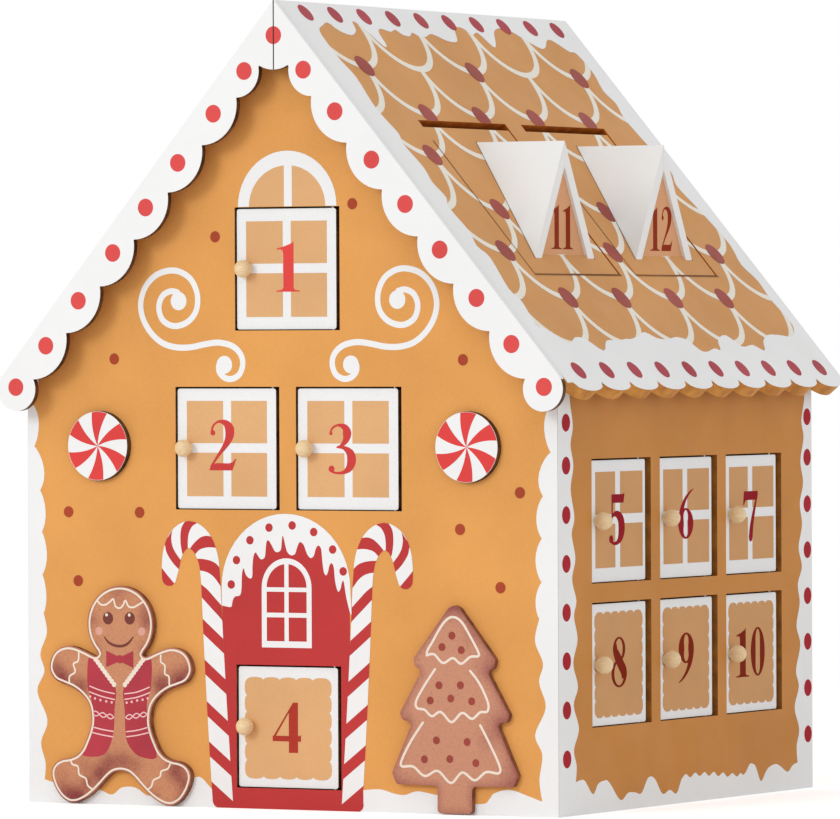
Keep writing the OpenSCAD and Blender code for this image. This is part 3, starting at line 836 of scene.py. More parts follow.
DIGITS = [zero(), one(), two(), three(), four(), five(), six(), seven(), eight(), nine()]
DIGIT_GAP = 0.07


def number(n, cx, cy, height, breadth=1.0):
    """The shapes of a number, centred on a point."""
    parts = [DIGITS[int(c)] for c in str(n)]
    start = -(sum(wide for _, wide in parts) + DIGIT_GAP * (len(parts) - 1)) / 2
    out = []
    for shapes, wide in parts:
        for shape in shapes:
            out.append([(cx + (start + x) * height * breadth, cy + (y - 0.5) * height) for x, y in shape])
        start += wide + DIGIT_GAP
    return out


print("digit widths:", [wide for _, wide in DIGITS])

# %% [markdown]
# ## Door faces
# The upper doors are little windows: four tan panes printed on the white leaf, with the number across the
# bars. The lower ones carry a tan panel with a scalloped edge. The leaf is white already, so only panes,
# panel and number are laid on it. They ride on the door's empty.

# %% Panes and panels of a door
FRONT_PANES = (4.8, 4.8, 5.6, 5.6, 0.2, 2.1)
SIDE_PANES = (4.7, 2.4, 5.2, 6.2, -0.2, 2.4)
CROSSBAR_RISE, CROSSBAR_HALF = 0.3, 2.2
PORCH_PANEL = ((4.2, 4.8, 4.4, 5.8), (5, 6, 1.1))
SIDE_PANEL = ((4.6, 4.6, 4.0, 4.8), (6, 7, 1.2))


def window_panes(leaf, margins):
    """Four panes. The margins are left, right, top, bottom, and the upright bar's shift and half width."""
    u0, z0, u1, z1 = leaf
    left, right, top, bottom, shift, half_u = margins
    a0, a1, b0, b1 = u0 + left, u1 - right, z0 + bottom, z1 - top
    bar_u, bar_z = (u0 + u1) / 2 + shift, (b0 + b1) / 2 + CROSSBAR_RISE
    half_z = CROSSBAR_HALF
    return [
        rect(a0, b0, bar_u - half_u, bar_z - half_z), rect(bar_u + half_u, b0, a1, bar_z - half_z),
        rect(a0, bar_z + half_z, bar_u - half_u, b1), rect(bar_u + half_u, bar_z + half_z, a1, b1),
    ]


def door_panel(leaf, margins, scallops):
    """A tan panel. Its margins are left, bottom, right and top, its scallops across, up and their rise."""
    u0, z0, u1, z1 = leaf
    left, bottom, right, top = margins
    return [scalloped_box(u0 + left, z0 + bottom, u1 - right, z1 - top, *scallops)]


print("panes on door 1:", len(window_panes(leaf_rect(1), FRONT_PANES)))

# %% Print the doors
# The third column picks the number's red: crimson and maroon on the side doors are painted shade.
NUMBER_SHIFTS = {
    1: (0.8, 1.1, "bright"), 2: (-2.3, 1.5, "red"), 3: (-3.3, 0, "red"), 4: (-0.8, -0.1, "brick"),
    5: (-1.3, 0.4, "crimson"), 6: (0.6, 1.4, "crimson"), 7: (0.1, -0.8, "crimson"), 8: (0.6, 0.6, "maroon"),
    9: (0.6, 0.2, "maroon"), 10: (-0.5, 0.2, "maroon"),
}
UNSEEN_SHIFTS = {2: (0.8, 0.3), 3: (2.4, 0.3)}
NUMBER_H = 22.8
SIDE_BREADTH = 1.1

for n in DOORS:
    wall, like = wall_of(n), n if n <= 10 else n - 12
    sideways = wall % 2 == 1
    place, leaf = on_wall(wall, DOOR_RECESS), leaf_rect(n)
    if like == 4:
        shapes = door_panel(leaf, *PORCH_PANEL)
    elif like > 7:
        shapes = door_panel(leaf, *SIDE_PANEL)
    else:
        shapes = window_panes(leaf, SIDE_PANES if sideways else FRONT_PANES)
    # Side doors take the darker pane tan: painted shade.
    pane, slot = (pane_side_painted_shade, "side_door_paint") if sideways else (pane_front, "front_door_paint")
    lay(f"door_{n:02d}_panes", f"door_{n:02d}", pane, place, 1, shapes, slot=slot)
    shift_u, shift_z, ink = NUMBER_SHIFTS[like]
    if wall in UNSEEN_SHIFTS:
        shift_u, shift_z = UNSEEN_SHIFTS[wall]
    middle_u, middle_z = (leaf[0] + leaf[2]) / 2 + shift_u, (leaf[1] + leaf[3]) / 2 + shift_z
    numerals = number(n, middle_u, middle_z, NUMBER_H, SIDE_BREADTH if sideways else 1.0)
    lay(f"door_{n:02d}_number", f"door_{n:02d}", NUMBER_REDS_LIT_AND_SHADED[ink], place, 2, numerals)
print("printed doors:", len(DOORS))

# %% [markdown]
# ## Icing on the front
# The front is piped with white icing: scalloped borders at the corners, snow at the foot, an arch over door 1
# and two scrolls beside it. Below stands the red porch around door 4, with a dripping icing cap and two
# striped canes. Everything is one drawing on the wall's sheet, so the back of the house can wear it too.

# %% Borders, arches and mirrored shapes
LEFT_EDGE = [
    (-134.5, 205), (-132.0, 194), (-135.5, 183.7), (-132.1, 175.5), (-134.6, 164.1), (-129.3, 153.2),
    (-131.6, 143.9), (-128.6, 133.6), (-130.7, 124.7), (-128.0, 114.0), (-130.5, 105.0), (-128.4, 95.0),
    (-129.9, 87.3), (-128.2, 78.3), (-131.8, 68.5), (-129.6, 60.4), (-133.5, 51.2), (-128.1, 38.0),
    (-131.6, 27.6), (-129.2, 18), (-130.0, 9),
]
RIGHT_EDGE = [
    (134.5, 205), (131.2, 194), (133.7, 182), (131.3, 173), (134.6, 162.2), (128.5, 152.1), (130.7, 142.7),
    (127.2, 133.2), (130.0, 123.8), (126.7, 114.3), (129.8, 104.4), (126.7, 96.6), (128.5, 88.2),
    (126.3, 78.2), (130.3, 68.3), (128.3, 59.9), (131.6, 48.8), (126.2, 36.5), (129.8, 27.7), (128.3, 16.5),
    (129.7, 6.7),
]


def mirrored(shapes, about=0.0):
    return [[(2 * about - p[0], *p[1:]) for p in shape] for shape in shapes]


def border_of(edge, outer, lobes=6):
    """A border with crisp lobes at the top, which turn into soft waves lower down."""
    crisp, soft = bumps(edge[:2 * lobes + 1]), smooth(edge[2 * lobes:], 5)
    return [(outer, edge[0][1])] + crisp + soft[1:] + [(outer, edge[-1][1])]


def snow_drift(crest, left=None, right=None):
    """Snow from the floor up to its crest. It runs on level to the left or right edge where one is given."""
    start = [(crest[0][0], 0)] if left is None else [(left, 0), (left, crest[0][1])]
    end = [(crest[-1][0], 0)] if right is None else [(right, crest[-1][1]), (right, 0)]
    return start + smooth(crest, 5) + end


def arch(cx, base, rx, ry, foot=0.0, steps=24):
    """A round arch over its base line, with straight sides where it has a foot."""
    turns = [math.pi * i / steps for i in range(steps + 1)]
    top = [(cx + rx * math.cos(t), base + ry * math.sin(t)) for t in turns]
    if foot > 0:
        return [(cx + rx, base - foot)] + top + [(cx - rx, base - foot)]
    return top


def arch_panes(cx, base, rx, ry, bar_left, bar_right):
    """The two halves of an arched pane, left and right of an upright bar."""

    def height(x):
        return base + ry * math.sqrt(1 - ((x - cx) / rx) ** 2)

    rim = arch(cx, base, rx, ry, steps=40)
    right_rim = [p for p in rim if p[0] > bar_right + 0.01]
    left_rim = [p for p in rim if p[0] < bar_left - 0.01]
    return [
        [(bar_right, base)] + right_rim + [(bar_right, height(bar_right))],
        [(bar_left, height(bar_left))] + left_rim + [(bar_left, base)],
    ]


print("corners of the left border:", len(border_of(LEFT_EDGE, front_low.x)))

# %% The front's icing
WALL_EDGE = 138
GABLE = [(-137.97, 0.03), (137.97, 0.03), (137.97, 194.9), (0, 356.4), (-137.97, 194.9)]
SNOW_LEFT = [
    (-130, 10.8), (-122, 9), (-104, 7.5), (-99.1, 6.3), (-95.1, 4.7), (-92.4, 5), (-88.8, 7.7),
    (-84.3, 8.4), (-79.9, 7.6), (-74, 4.5), (-66, 6.5), (-60, 8.3), (-51.7, 12.5), (-46.7, 13.7),
    (-42, 9.8), (-38, 6),
]
SNOW_RIGHT = [
    (37, 9.7), (47.1, 10.4), (54.2, 8.7), (59.9, 8.2), (66.3, 10), (75.9, 8.6), (90, 6.5), (94.4, 5.1),
    (100.7, 5.4), (103.2, 7.6), (105.6, 10.1), (113.4, 11.8), (123.5, 8.9), (130.3, 6.7),
]
ICING_DOTS = [
    (34, 273.8), (-37.6, 259.6), (-91.4, 204.2), (90.4, 203.4), (-116.2, 134), (-78.2, 134), (119, 144.2),
    (88.6, 127.6), (-111.2, 102.4), (109, 101.8),
]
SCROLL = [
    (-57.5, 234.4), (-61.3, 235), (-65.6, 232.8), (-67.5, 227.6), (-65.4, 221.8), (-59.3, 219.1),
    (-52.2, 221), (-47.7, 226.2), (-47.1, 233.4), (-50.2, 240), (-55.9, 243.7), (-62.2, 244.4),
    (-69.2, 242.2), (-74.6, 237), (-77.1, 229.9), (-76.1, 223), (-72, 216.4), (-66, 211.6), (-59, 209.5),
    (-51, 209.4), (-43, 210.8), (-36, 211.5), (-29, 210), (-24.6, 206.4), (-23.3, 201.9), (-25, 197.2),
    (-29, 195), (-33, 195.6), (-35.7, 198.2), (-36, 201),
]
SCROLL_LINE = 2.8
SCROLL_ENDS = [disc(-57, 230.5, 4.2), disc(-33, 201.4, 4.1)]
SPRINKLE_R = 2.6
LEAF_GAP = 1.0
ARCH_U, ARCH_TAN, ARCH_WHITE = 0.2, (24.5, 23.5), (25.7, 25.2)
ARCH_GLASS = (19.9, 18.6, -1.4, 2.7)


def gable_art(wall, name):
    place = on_wall(wall)
    icing = [
        border_of(LEFT_EDGE, -WALL_EDGE), border_of(RIGHT_EDGE, WALL_EDGE),
        snow_drift(SNOW_LEFT, left=-WALL_EDGE), snow_drift(SNOW_RIGHT, right=WALL_EDGE),
    ]
    scroll = line(smooth(SCROLL, 5), SCROLL_LINE) + SCROLL_ENDS
    icing += scroll + mirrored(scroll)
    lay(f"{name}_icing", "house", icing_white, place, 1, icing, within=[GABLE], slot="white_paint")
    top = box_mm("door_01")[1].z + LEAF_GAP
    tan, white = arch(ARCH_U, top, *ARCH_TAN), arch(ARCH_U, top, *ARCH_WHITE)
    lay(f"{name}_panes", "house", pane_front, place, 1, [tan], slot="front_door_paint")
    lay(f"{name}_icing", "house", icing_white, place, 2, [white], cuts=arch_panes(ARCH_U, top, *ARCH_GLASS))
    sprinkles = [disc(x, z, SPRINKLE_R, SMALL_DOT_CORNERS) for x, z in ICING_DOTS]
    lay(f"{name}_sprinkles", "house", brick_dot, place, 1, sprinkles, slot="front_paint")


gable_art(0, "front")
gable_art(2, "back")
print("front icing triangles:", len(sheets["front_icing"]["faces"]))

# %% [markdown]
# The porch is layered like real icing: red first, then the white cap that drips over it, then the sweets on
# the cap. A cane is one line that bends over at its top. Its stripes follow the bend, so each is built from
# the cane's own middle line: so far along it, and slanted across it. The stripes on the hook bend too much
# for that, so each of them is given by its two edges.

# %% Striped canes
CANE = [
    (-34.7, 2.6, 10.6), (-35.9, 20, 10.6), (-37.2, 40, 10.5), (-38.4, 60, 10.4), (-39.5, 80, 10.3),
    (-40.2, 95, 10.2), (-40.9, 106, 10.2), (-42.2, 114, 10.8), (-45.9, 120.9, 11.8), (-51.8, 124.1, 12.4),
    (-57.5, 121.4, 11.4), (-60.7, 115.5, 10.2), (-62, 108.5, 9), (-62.6, 104.3, 7.6),
]
STRIPES = [(-9, 4.9, 4.8), (16.3, 23.1, 4.8), (34.6, 41.4, 4.8), (53.6, 60.4, 4.8), (72.1, 78.9, 4.8)]
STRIPE_SHARES = [-1, -0.75, -0.5, -0.25, 0, 0.25, 0.5, 0.75, 1]
STRIPE_REACH = 1.02
HOOK_STRIPES = [
    ([(-34.0, 91.2), (-35.1, 92.1), (-39.1, 96.0), (-42.3, 99.1), (-45.2, 101.2), (-46.2, 102.0)],
     [(-34.6, 84.8), (-35.4, 86.1), (-40.5, 90.9), (-44.8, 95.0), (-45.8, 96.0)]),
    ([(-35.2, 108.3), (-36.2, 109.5), (-38.1, 111.2), (-41.0, 112.4), (-44.5, 113.0), (-46.7, 113.1),
      (-47.8, 113.1)],
     [(-34.8, 100.2), (-35.7, 101.1), (-38.5, 104.5), (-41.1, 106.4), (-43.5, 107.3), (-45.6, 107.7),
      (-46.8, 107.8)]),
    ([(-39.2, 122.9), (-40.2, 123.3), (-43.1, 123.6), (-46.0, 122.8), (-48.8, 120.7), (-50.9, 118.5),
      (-51.5, 117.6)],
     [(-37.0, 118.1), (-38.0, 118.2), (-41.4, 118.4), (-44.2, 118.0), (-46.5, 117.2), (-48.1, 115.8),
      (-48.8, 115.0)]),
    ([(-53.6, 131.0), (-54.2, 129.9), (-55.9, 127.3), (-56.5, 123.9), (-56.4, 119.8), (-55.7, 116.0),
      (-55.3, 115.0)],
     [(-47.0, 130.0), (-47.9, 129.3), (-50.3, 127.8), (-52.0, 124.9), (-52.6, 121.4), (-52.6, 117.9),
      (-52.5, 117.0)]),
    ([(-60.6, 126.2), (-61.0, 125.2), (-61.4, 121.9), (-60.6, 118.3), (-58.8, 115.3), (-56.7, 112.8),
      (-55.9, 112.0)],
     [(-65.4, 120.0), (-64.7, 119.0), (-64.0, 116.1), (-62.1, 113.0), (-59.8, 110.3), (-57.5, 108.3),
      (-56.6, 107.6)]),
    ([(-67.4, 109.9), (-66.5, 108.8), (-64.0, 106.0), (-61.7, 103.6), (-59.5, 101.3), (-58.6, 100.3)],
     [(-68.0, 104.0), (-66.0, 100.0), (-62.5, 98.6), (-59.5, 99.2)]),
]


def along(points, distance, across):
    """The point a distance along a line, and across it to its right as a share of half its width."""
    rest = distance
    for p, q in zip(points, points[1:]):
        step = math.dist(p[:2], q[:2])
        if rest <= step or q is points[-1]:
            t = rest / step
            half = (p[2] + (q[2] - p[2]) * min(1.0, max(0.0, t))) / 2
            dx, dy = (q[0] - p[0]) / step, (q[1] - p[1]) / step
            x, y = p[0] + (q[0] - p[0]) * t, p[1] + (q[1] - p[1]) * t
            return x + dy * half * across, y - dx * half * across
        rest -= step


def cane_stripes(points):
    """Stripes on the stick, each from one distance along it to another, and then those on the hook."""
    stripes = []
    for low, high, slant in STRIPES:
        lower = [along(points, low - slant * s, s * STRIPE_REACH) for s in STRIPE_SHARES]
        upper = [along(points, high - slant * s, s * STRIPE_REACH) for s in STRIPE_SHARES]
        for a, b, c, d in zip(lower, lower[1:], upper[1:], upper):
            stripes += [(a, b, c), (a, c, d)]
    return stripes + [smooth(near, 4) + smooth(far, 4)[::-1] for near, far in HOOK_STRIPES]


print("stripes on a cane:", len(STRIPES) + len(HOOK_STRIPES))

# %% The red porch
CAP_DRIPS = [
    (-34.6, 92), (-31.8, 91.5), (-29.8, 91.5), (-29.1, 94.3), (-27.8, 96.2), (-25.2, 96.8), (-24.4, 100.3),
    (-24.2, 106), (-23.3, 109.1), (-22.2, 106.2), (-20.2, 104.5), (-18.8, 105.3), (-18.6, 110.3),
    (-18.1, 114.5), (-17, 116.3), (-15.8, 114.9), (-14.2, 113.2), (-12.2, 114.1), (-11.7, 117.8),
    (-11.2, 121.2), (-10.2, 121.8), (-8.9, 120.2), (-6.9, 117), (-5.2, 116.6), (-3.7, 117.8), (-3.2, 122),
    (-2.7, 124.1), (-2, 122), (-0.6, 117), (1.5, 115.2), (3.6, 115.8), (4.7, 118.7), (6.1, 121.2),
    (8.2, 119.9), (9.7, 116.2), (11.5, 114.1), (13.3, 114.9), (14.4, 118.2), (15.7, 119.7), (17.2, 118.2),
    (17.8, 112.8), (18.6, 107.8), (19.7, 106.3), (20.7, 107.8), (21.5, 110.8), (22.8, 111.8), (23.8, 109.5),
    (24.4, 103.7), (25.8, 99.1), (27.2, 100.3), (27.8, 102.8), (28.6, 104.1), (29.2, 102), (30.2, 96.2),
    (32.3, 88.7),
]
CAP_DOTS = [
    (-29.8, 101.6), (-27, 112.7), (-19.9, 121.8), (-9.9, 127.6), (2.2, 128.7), (13.4, 125.8), (23.2, 118),
    (28.6, 108.2),
]
PORCH_X, PORCH_R, PORCH_BASE, PORCH_H = -1.3, 33.25, 100.4, 99.5
PORCH_STEPS = [rect(-39.9, 3, 38.5, 9.0), rect(-37, 0.03, 35.7, 9.0), disc(-37, 3, 2.95), disc(35.7, 3, 2.95)]
OPENING_MARGINS = (-0.6, -0.5, 2.3, 0.8)
CAP_R, CAP_DOT_R = PORCH_R + 0.3, 1.95
CANES_ABOUT = -1.0
PORCH_WINDOW = (-0.85, 100.4, 13, 13.4, 27.1)
PORCH_GLASS = (-0.85, 100.6, 10.4, 10.6, -2, 0.2)
GLASS_COLUMNS, GLASS_ROWS = ((-11.25, -2), (0.2, 9.55)), ((76.2, 87), (89.1, 98.6))


def porch_art(wall, name, door):
    place = on_wall(wall)
    red, white = f"{name}_porch_red", f"{name}_icing"
    opening = [rect(*(edge + margin for edge, margin in zip(leaf_rect(door), OPENING_MARGINS)))]
    body = [arch(PORCH_X, PORCH_BASE, PORCH_R, PORCH_R, PORCH_H)] + PORCH_STEPS
    lay(red, "house", lacquer_red, place, 2, body, cuts=opening, slot="front_paint")
    first, last = CAP_DRIPS[0], CAP_DRIPS[-1]
    dome = [(last[0] + 0.6, last[1])] + arch(PORCH_X, PORCH_BASE, CAP_R, CAP_R) + [(first[0] - 0.1, first[1])]
    middle_line = smooth(CANE, 4)
    hook_end = disc(*CANE[-1][:2], CANE[-1][2] / 2, CAP_CORNERS)
    cane = line(middle_line, caps=False) + [hook_end]
    stripes = cane_stripes(middle_line)
    canes = cane + mirrored(cane, CANES_ABOUT)
    lay(white, "house", icing_white, place, 3, [dome + smooth(CAP_DRIPS, 3)] + canes)
    lay(red, "house", lacquer_red, place, 4, stripes + mirrored(stripes, CANES_ABOUT), within=canes)
    lay(red, "house", lacquer_red, place, 4, [disc(x, z, CAP_DOT_R, SMALL_DOT_CORNERS) for x, z in CAP_DOTS])
    glass = arch_panes(*PORCH_GLASS)
    glass += [rect(u0, z0, u1, z1) for u0, u1 in GLASS_COLUMNS for z0, z1 in GLASS_ROWS]
    lay(white, "house", icing_white, place, 3, [arch(*PORCH_WINDOW)], cuts=glass)


porch_art(0, "front", 4)
porch_art(2, "back", 16)
print("porch triangles:", len(sheets["front_porch_red"]["faces"]))

# %% [markdown]
# ## Icing on the side walls
# A side wall has white borders with red sweets down both corners and a snow drift along its foot.
# The border lies over the end of the front panel too, so that the corner of the house reads as one piece of
# icing.

# %% Side borders, sweets and snow
SIDE_EDGE, SIDE_TOP = 128.48, 195
SIDE_SNOW = [
    (-112, 15), (-108, 15.6), (-103.5, 15), (-96, 8.7), (-91, 13), (-85.2, 14.2), (-80.2, 13.3),
    (-69.3, 4.7), (-61.8, 7.5), (-55, 7.4), (-48.5, 6.7), (-41.8, 13.3), (-35.2, 12.5), (-27.7, 5.3),
    (-20.2, 6.7), (-13.5, 4.7), (-8.5, 10.8), (-4, 13), (0.5, 11.3), (5.5, 13.2), (10, 11.4), (15, 13),
    (19.5, 11), (24.5, 12.6), (29, 10.4), (34, 11.8), (38.5, 9.6), (43.5, 11), (48.2, 9.2), (52, 10.6),
    (54.5, 9.7), (57.5, 10.8), (61.5, 14.2), (65, 14.3), (68.2, 12.5), (73.2, 5.8), (78, 9.5), (81.5, 11.7),
    (88, 13), (93.2, 12), (101.5, 8.7), (107, 11.5), (112, 12.5),
]
SIDE_FRONT = [
    (-118.2, 207), (-115, 197), (-117, 186.7), (-114, 174), (-116.3, 165.5), (-113.6, 156), (-116.3, 145.5),
    (-112.8, 133), (-115.4, 125.4), (-112, 114.7), (-115.2, 105.4), (-111.2, 95.9), (-113.5, 88.7),
    (-110.2, 78.5), (-114.4, 67.9), (-110, 57.5), (-114.1, 49.2), (-109.2, 38.6), (-114, 29.4),
    (-111.5, 22), (-112.6, 14),
]
SIDE_REAR = [
    (121.8, 207), (118.6, 197), (121, 185.8), (117.6, 173.5), (119.9, 165.6), (116.4, 154.5),
    (119.2, 144.3), (115.6, 134.5), (117.9, 124.5), (114.2, 113.8), (117.6, 104.7), (113.2, 96.5),
    (115.1, 87.5), (111.6, 77), (115.6, 68), (110.9, 56), (113.9, 48.3), (109.3, 38.5), (114.1, 28.3),
    (111.3, 20), (112.6, 11),
]
SWEET_Z = [175.3, 156.2, 134.2, 112.5, 90.8, 69.2, 47.3, 25.5]
SWEET_U, SWEET_R = (-120.6, 123.6), 4


def side_art(wall, name):
    place = on_wall(wall)
    borders = [border_of(SIDE_FRONT, -SIDE_EDGE, 0), border_of(SIDE_REAR, SIDE_EDGE, 0)]
    icing = borders + [snow_drift(SIDE_SNOW, -SIDE_EDGE, SIDE_EDGE)]
    board = [rect(-SIDE_EDGE, 0.03, SIDE_EDGE, SIDE_TOP)]
    lay(f"{name}_icing", "house", icing_white, place, 1, icing, within=board, slot="white_paint")
    sweets = [disc(u, z, SWEET_R, 24) for z in SWEET_Z for u in SWEET_U]
    lay(f"{name}_sweets", "house", side_red, place, 2, sweets, slot="side_paint")


side_art(1, "right_wall")
side_art(3, "left_wall")
print("right wall icing triangles:", len(sheets["right_wall_icing"]["faces"]))

# %% [markdown]
# ## The scale roof
# The roof is piped with fish scales: rows of half circles, each row's points standing on the middles of the
# arcs above, with a mauve sweet where they meet. The pattern runs on over the hatches, so it is drawn once
# and cut twice: the slab gets it without the openings, and each hatch gets only its own patch, which rides on
# the hatch's empty. A thin dark line beside each hatch's cut is painted shade of the narrow gap, with the
# laser's scorch in it.

# %% The slab's outline and its scales
EAVE_LOBES, EAVE_RISE = 10, 5.0
EAVE_LEAD, EAVE_TAIL = 5.1, 1.6
EAVE_CORNER = 2.4
SCALE_ROWS = [11.4, 38.6, 67.0, 92.4, 124.0, 149.6, 177.4, 205.0]
SCALE_PITCH = 52.4
EVEN_START, ODD_START = 1.6, 27.8
SCALE_LINE, SCALE_STEPS = 3.6, 22


def scallop_plan():
    """The slab's outline, with its scalloped eave, a hair inside the real edge."""
    pitch = (roof_span - EAVE_LEAD - EAVE_TAIL) / EAVE_LOBES
    eave = roof_len - EAVE_RISE - 0.2
    rear = roof_span - front_over - 0.1
    edge = [(0.1, 0.02 - front_over), (eave, 0.02 - front_over)]
    for i in range(EAVE_LOBES):
        start = (eave, EAVE_LEAD + i * pitch - front_over)
        edge += arc_between(start, (start[0], start[1] + pitch), EAVE_RISE, 12)
    return edge + [(eave, rear - EAVE_CORNER), (roof_len - EAVE_RISE - EAVE_CORNER, rear), (0.1, rear)]


def scale_lines():
    """Every row's half circles, from top to low down the slope."""
    turns = [math.pi * i / SCALE_STEPS for i in range(SCALE_STEPS + 1)]
    shapes = []
    for j, (top, low) in enumerate(zip(SCALE_ROWS, SCALE_ROWS[1:])):
        first = ODD_START if j % 2 == 0 else EVEN_START
        for k in range(-1, 7):
            middle = first + SCALE_PITCH * k
            arc = [(top + (low - top) * math.sin(t), middle - SCALE_PITCH / 2 * math.cos(t)) for t in turns]
            shapes += line(arc, SCALE_LINE, caps=False)
    return shapes


print("rows of scales:", len(SCALE_ROWS) - 1)

# %% Borders and sweets on the roof
ROOF_INNER = [
    (18, 10), (14.4, 17), (12.4, 24), (17, 29), (19.4, 38), (16, 46), (10.4, 49), (14, 54.6), (25, 61),
    (24, 65), (17, 66.6), (14, 71), (15.6, 79), (14, 85), (17, 89), (17.6, 95), (15.2, 100), (17.6, 105),
    (17.2, 111), (15.2, 119), (19, 129), (19, 139), (12, 145), (9.6, 148), (10, 155), (14, 160),
    (12.4, 167), (21, 172), (19, 177), (11, 185), (8.4, 193), (9, 201), (12, 207), (16, 213), (20, 221),
    (19, 227), (14, 235), (15, 241), (21, 249), (22, 255), (34, 257), (46, 253), (54, 256), (64, 252.6),
    (80, 255.4), (96, 259), (106, 253), (118, 256), (130, 259), (144, 261), (156, 256.6), (166, 261),
    (178, 259.4), (191, 262), (197, 259), (201, 251), (200, 239), (200, 227), (204, 217), (209.6, 211),
    (206, 203), (207, 191), (200, 183), (203, 171), (209, 166), (208, 161), (210, 151), (209, 145),
    (203, 140), (201, 131), (202.4, 121), (201.6, 111), (198, 103), (200, 95), (202, 85), (202, 79),
    (203, 71), (203, 59), (209, 49), (202, 40), (201, 31), (204.4, 21), (197, 11), (193, 3.4), (180, 6.6),
    (172, 3.4), (154, 8.2), (147, 4), (138, 7.4), (124, 5.4), (118, 10), (109, 7.8), (100, 10.2), (86, 7.8),
    (80, 11), (70, 8.6), (61, 8.2), (46, 11.4), (36, 9), (28, 8.6),
]
SCALE_SWEETS = [
    (38.6, (27.8, 132.6, 237.4)), (67.0, (54, 105, 158.4, 211)), (92.4, (27.8, 132.6, 237.4)),
    (124.0, (54, 106.2, 158.6, 211)), (149.6, (27.8, 132.6, 237.4)), (177.4, (54, 106.2, 158.6, 211)),
]
RIDGE_SWEETS = [(7.0, 9.9 + 27.07 * i, 4.9) for i in range(10)]
EAVE_SWEETS = [(220.4, 10.4 + 27.2 * i, 4.8) for i in range(10)]
SCALE_SWEET_R = 6.2
SLOT_ABOVE, CUT_BESIDE, HATCH_MARGIN = 3.9, 0.7, 0.15
# The dark line beside each hatch's cut: painted shade of the gap, with the laser's scorch.
SCORCH_SHADE_START, SCORCH_SHADE_OFF, SCORCH_SHADE_LINE = 9, 1.1, 0.75


def roof_art(side, name, hatches):
    plan, place = [scallop_plan()], on_roof(side)
    lid = on_roof(side, HATCH_RECESS)
    sweets = [disc(a, b, SCALE_SWEET_R) for a, row in SCALE_SWEETS for b in row]
    rims = [disc(a, b, r, 24) for a, b, r in RIDGE_SWEETS + EAVE_SWEETS]
    holes, scorch_and_gap_shade = [], []
    for n in hatches:
        a0, b0, a1, b1 = hatch_rect(n)
        holes.append(rect(a0 - SLOT_ABOVE, b0 - CUT_BESIDE, a1 + CUT_BESIDE, b1 + CUT_BESIDE))
        patch = [rect(a0 + HATCH_MARGIN, b0 + HATCH_MARGIN, a1 - HATCH_MARGIN, b1 - HATCH_MARGIN)]
        hatch = f"hatch_{n}"
        lay(f"{hatch}_scales", hatch, piped_cream, lid, 1, scale_lines(), within=patch, slot="white_paint")
        lay(f"{hatch}_sweets", hatch, mauve_dot, lid, 2, sweets, within=patch, slot="roof_paint")
        # The line beside the cut is painted shade of the gap, with the laser's scorch.
        front, foot = b0 - SCORCH_SHADE_OFF, a1 + SCORCH_SHADE_OFF
        scorch_and_gap_shade += line([(a0 + SCORCH_SHADE_START, front), (foot, front), (foot, b1 + CUT_BESIDE)], SCORCH_SHADE_LINE)
    border = smooth(ROOF_INNER, 3, True)
    lay(f"{name}_scales", "house", piped_cream, place, 1, scale_lines(), holes, plan, slot="white_paint")
    lay(f"{name}_icing", "house", icing_white, place, 2, plan, cuts=[border], slot="white_paint")
    lay(f"{name}_sweets", "house", mauve_dot, place, 3, sweets, holes, plan, slot="roof_paint")
    lay(f"{name}_rim_sweets", "house", rim_pink, place, 3, rims, slot="roof_paint")
    lay(f"{name}_scorch", "house", scorch_and_painted_shade, place, 4, scorch_and_gap_shade, slot="roof_paint")


for side, name, hatches in ROOFS:
    roof_art(side, name, hatches)
print("roof scale triangles:", len(sheets["roof_right_scales"]["faces"]))

# %% [markdown]
# ## Dormer fronts
# Each dormer has a tan triangle between its white plates, with the hatch's number printed on it in slim
# digits. The digits of 23 and 24 are wider than those of 11 and 12, so they are drawn slimmer to fit. The
# triangle's board belongs to the dormer's solid, so only a thin sheet goes on its face. A fine brown line
# along the plates' foot, where the dormer stands on its hatch, is painted contact shadow with the plates'
# burnt edge.

# %% Print the dormer fronts
FRONT_IN = 1.5
PLATE_T = 5.6
DORMER_PITCH = math.radians(61.7)
DORMER_NUMBER_RISE, DORMER_NUMBER_H = 12.6, 20.5
DORMER_BREADTH = {1: 0.88, -1: 0.66}
FOOT_BURN_AND_SHADE_LINE = 0.9


def on_dormer(side, face_x, middle):
    """The sheet of a dormer's upright face, which stands at x = face_x on its side of the house."""

    def place(u, z, lift):
        return Vector((side * (face_x + lift), middle + side * u, z))

    return place


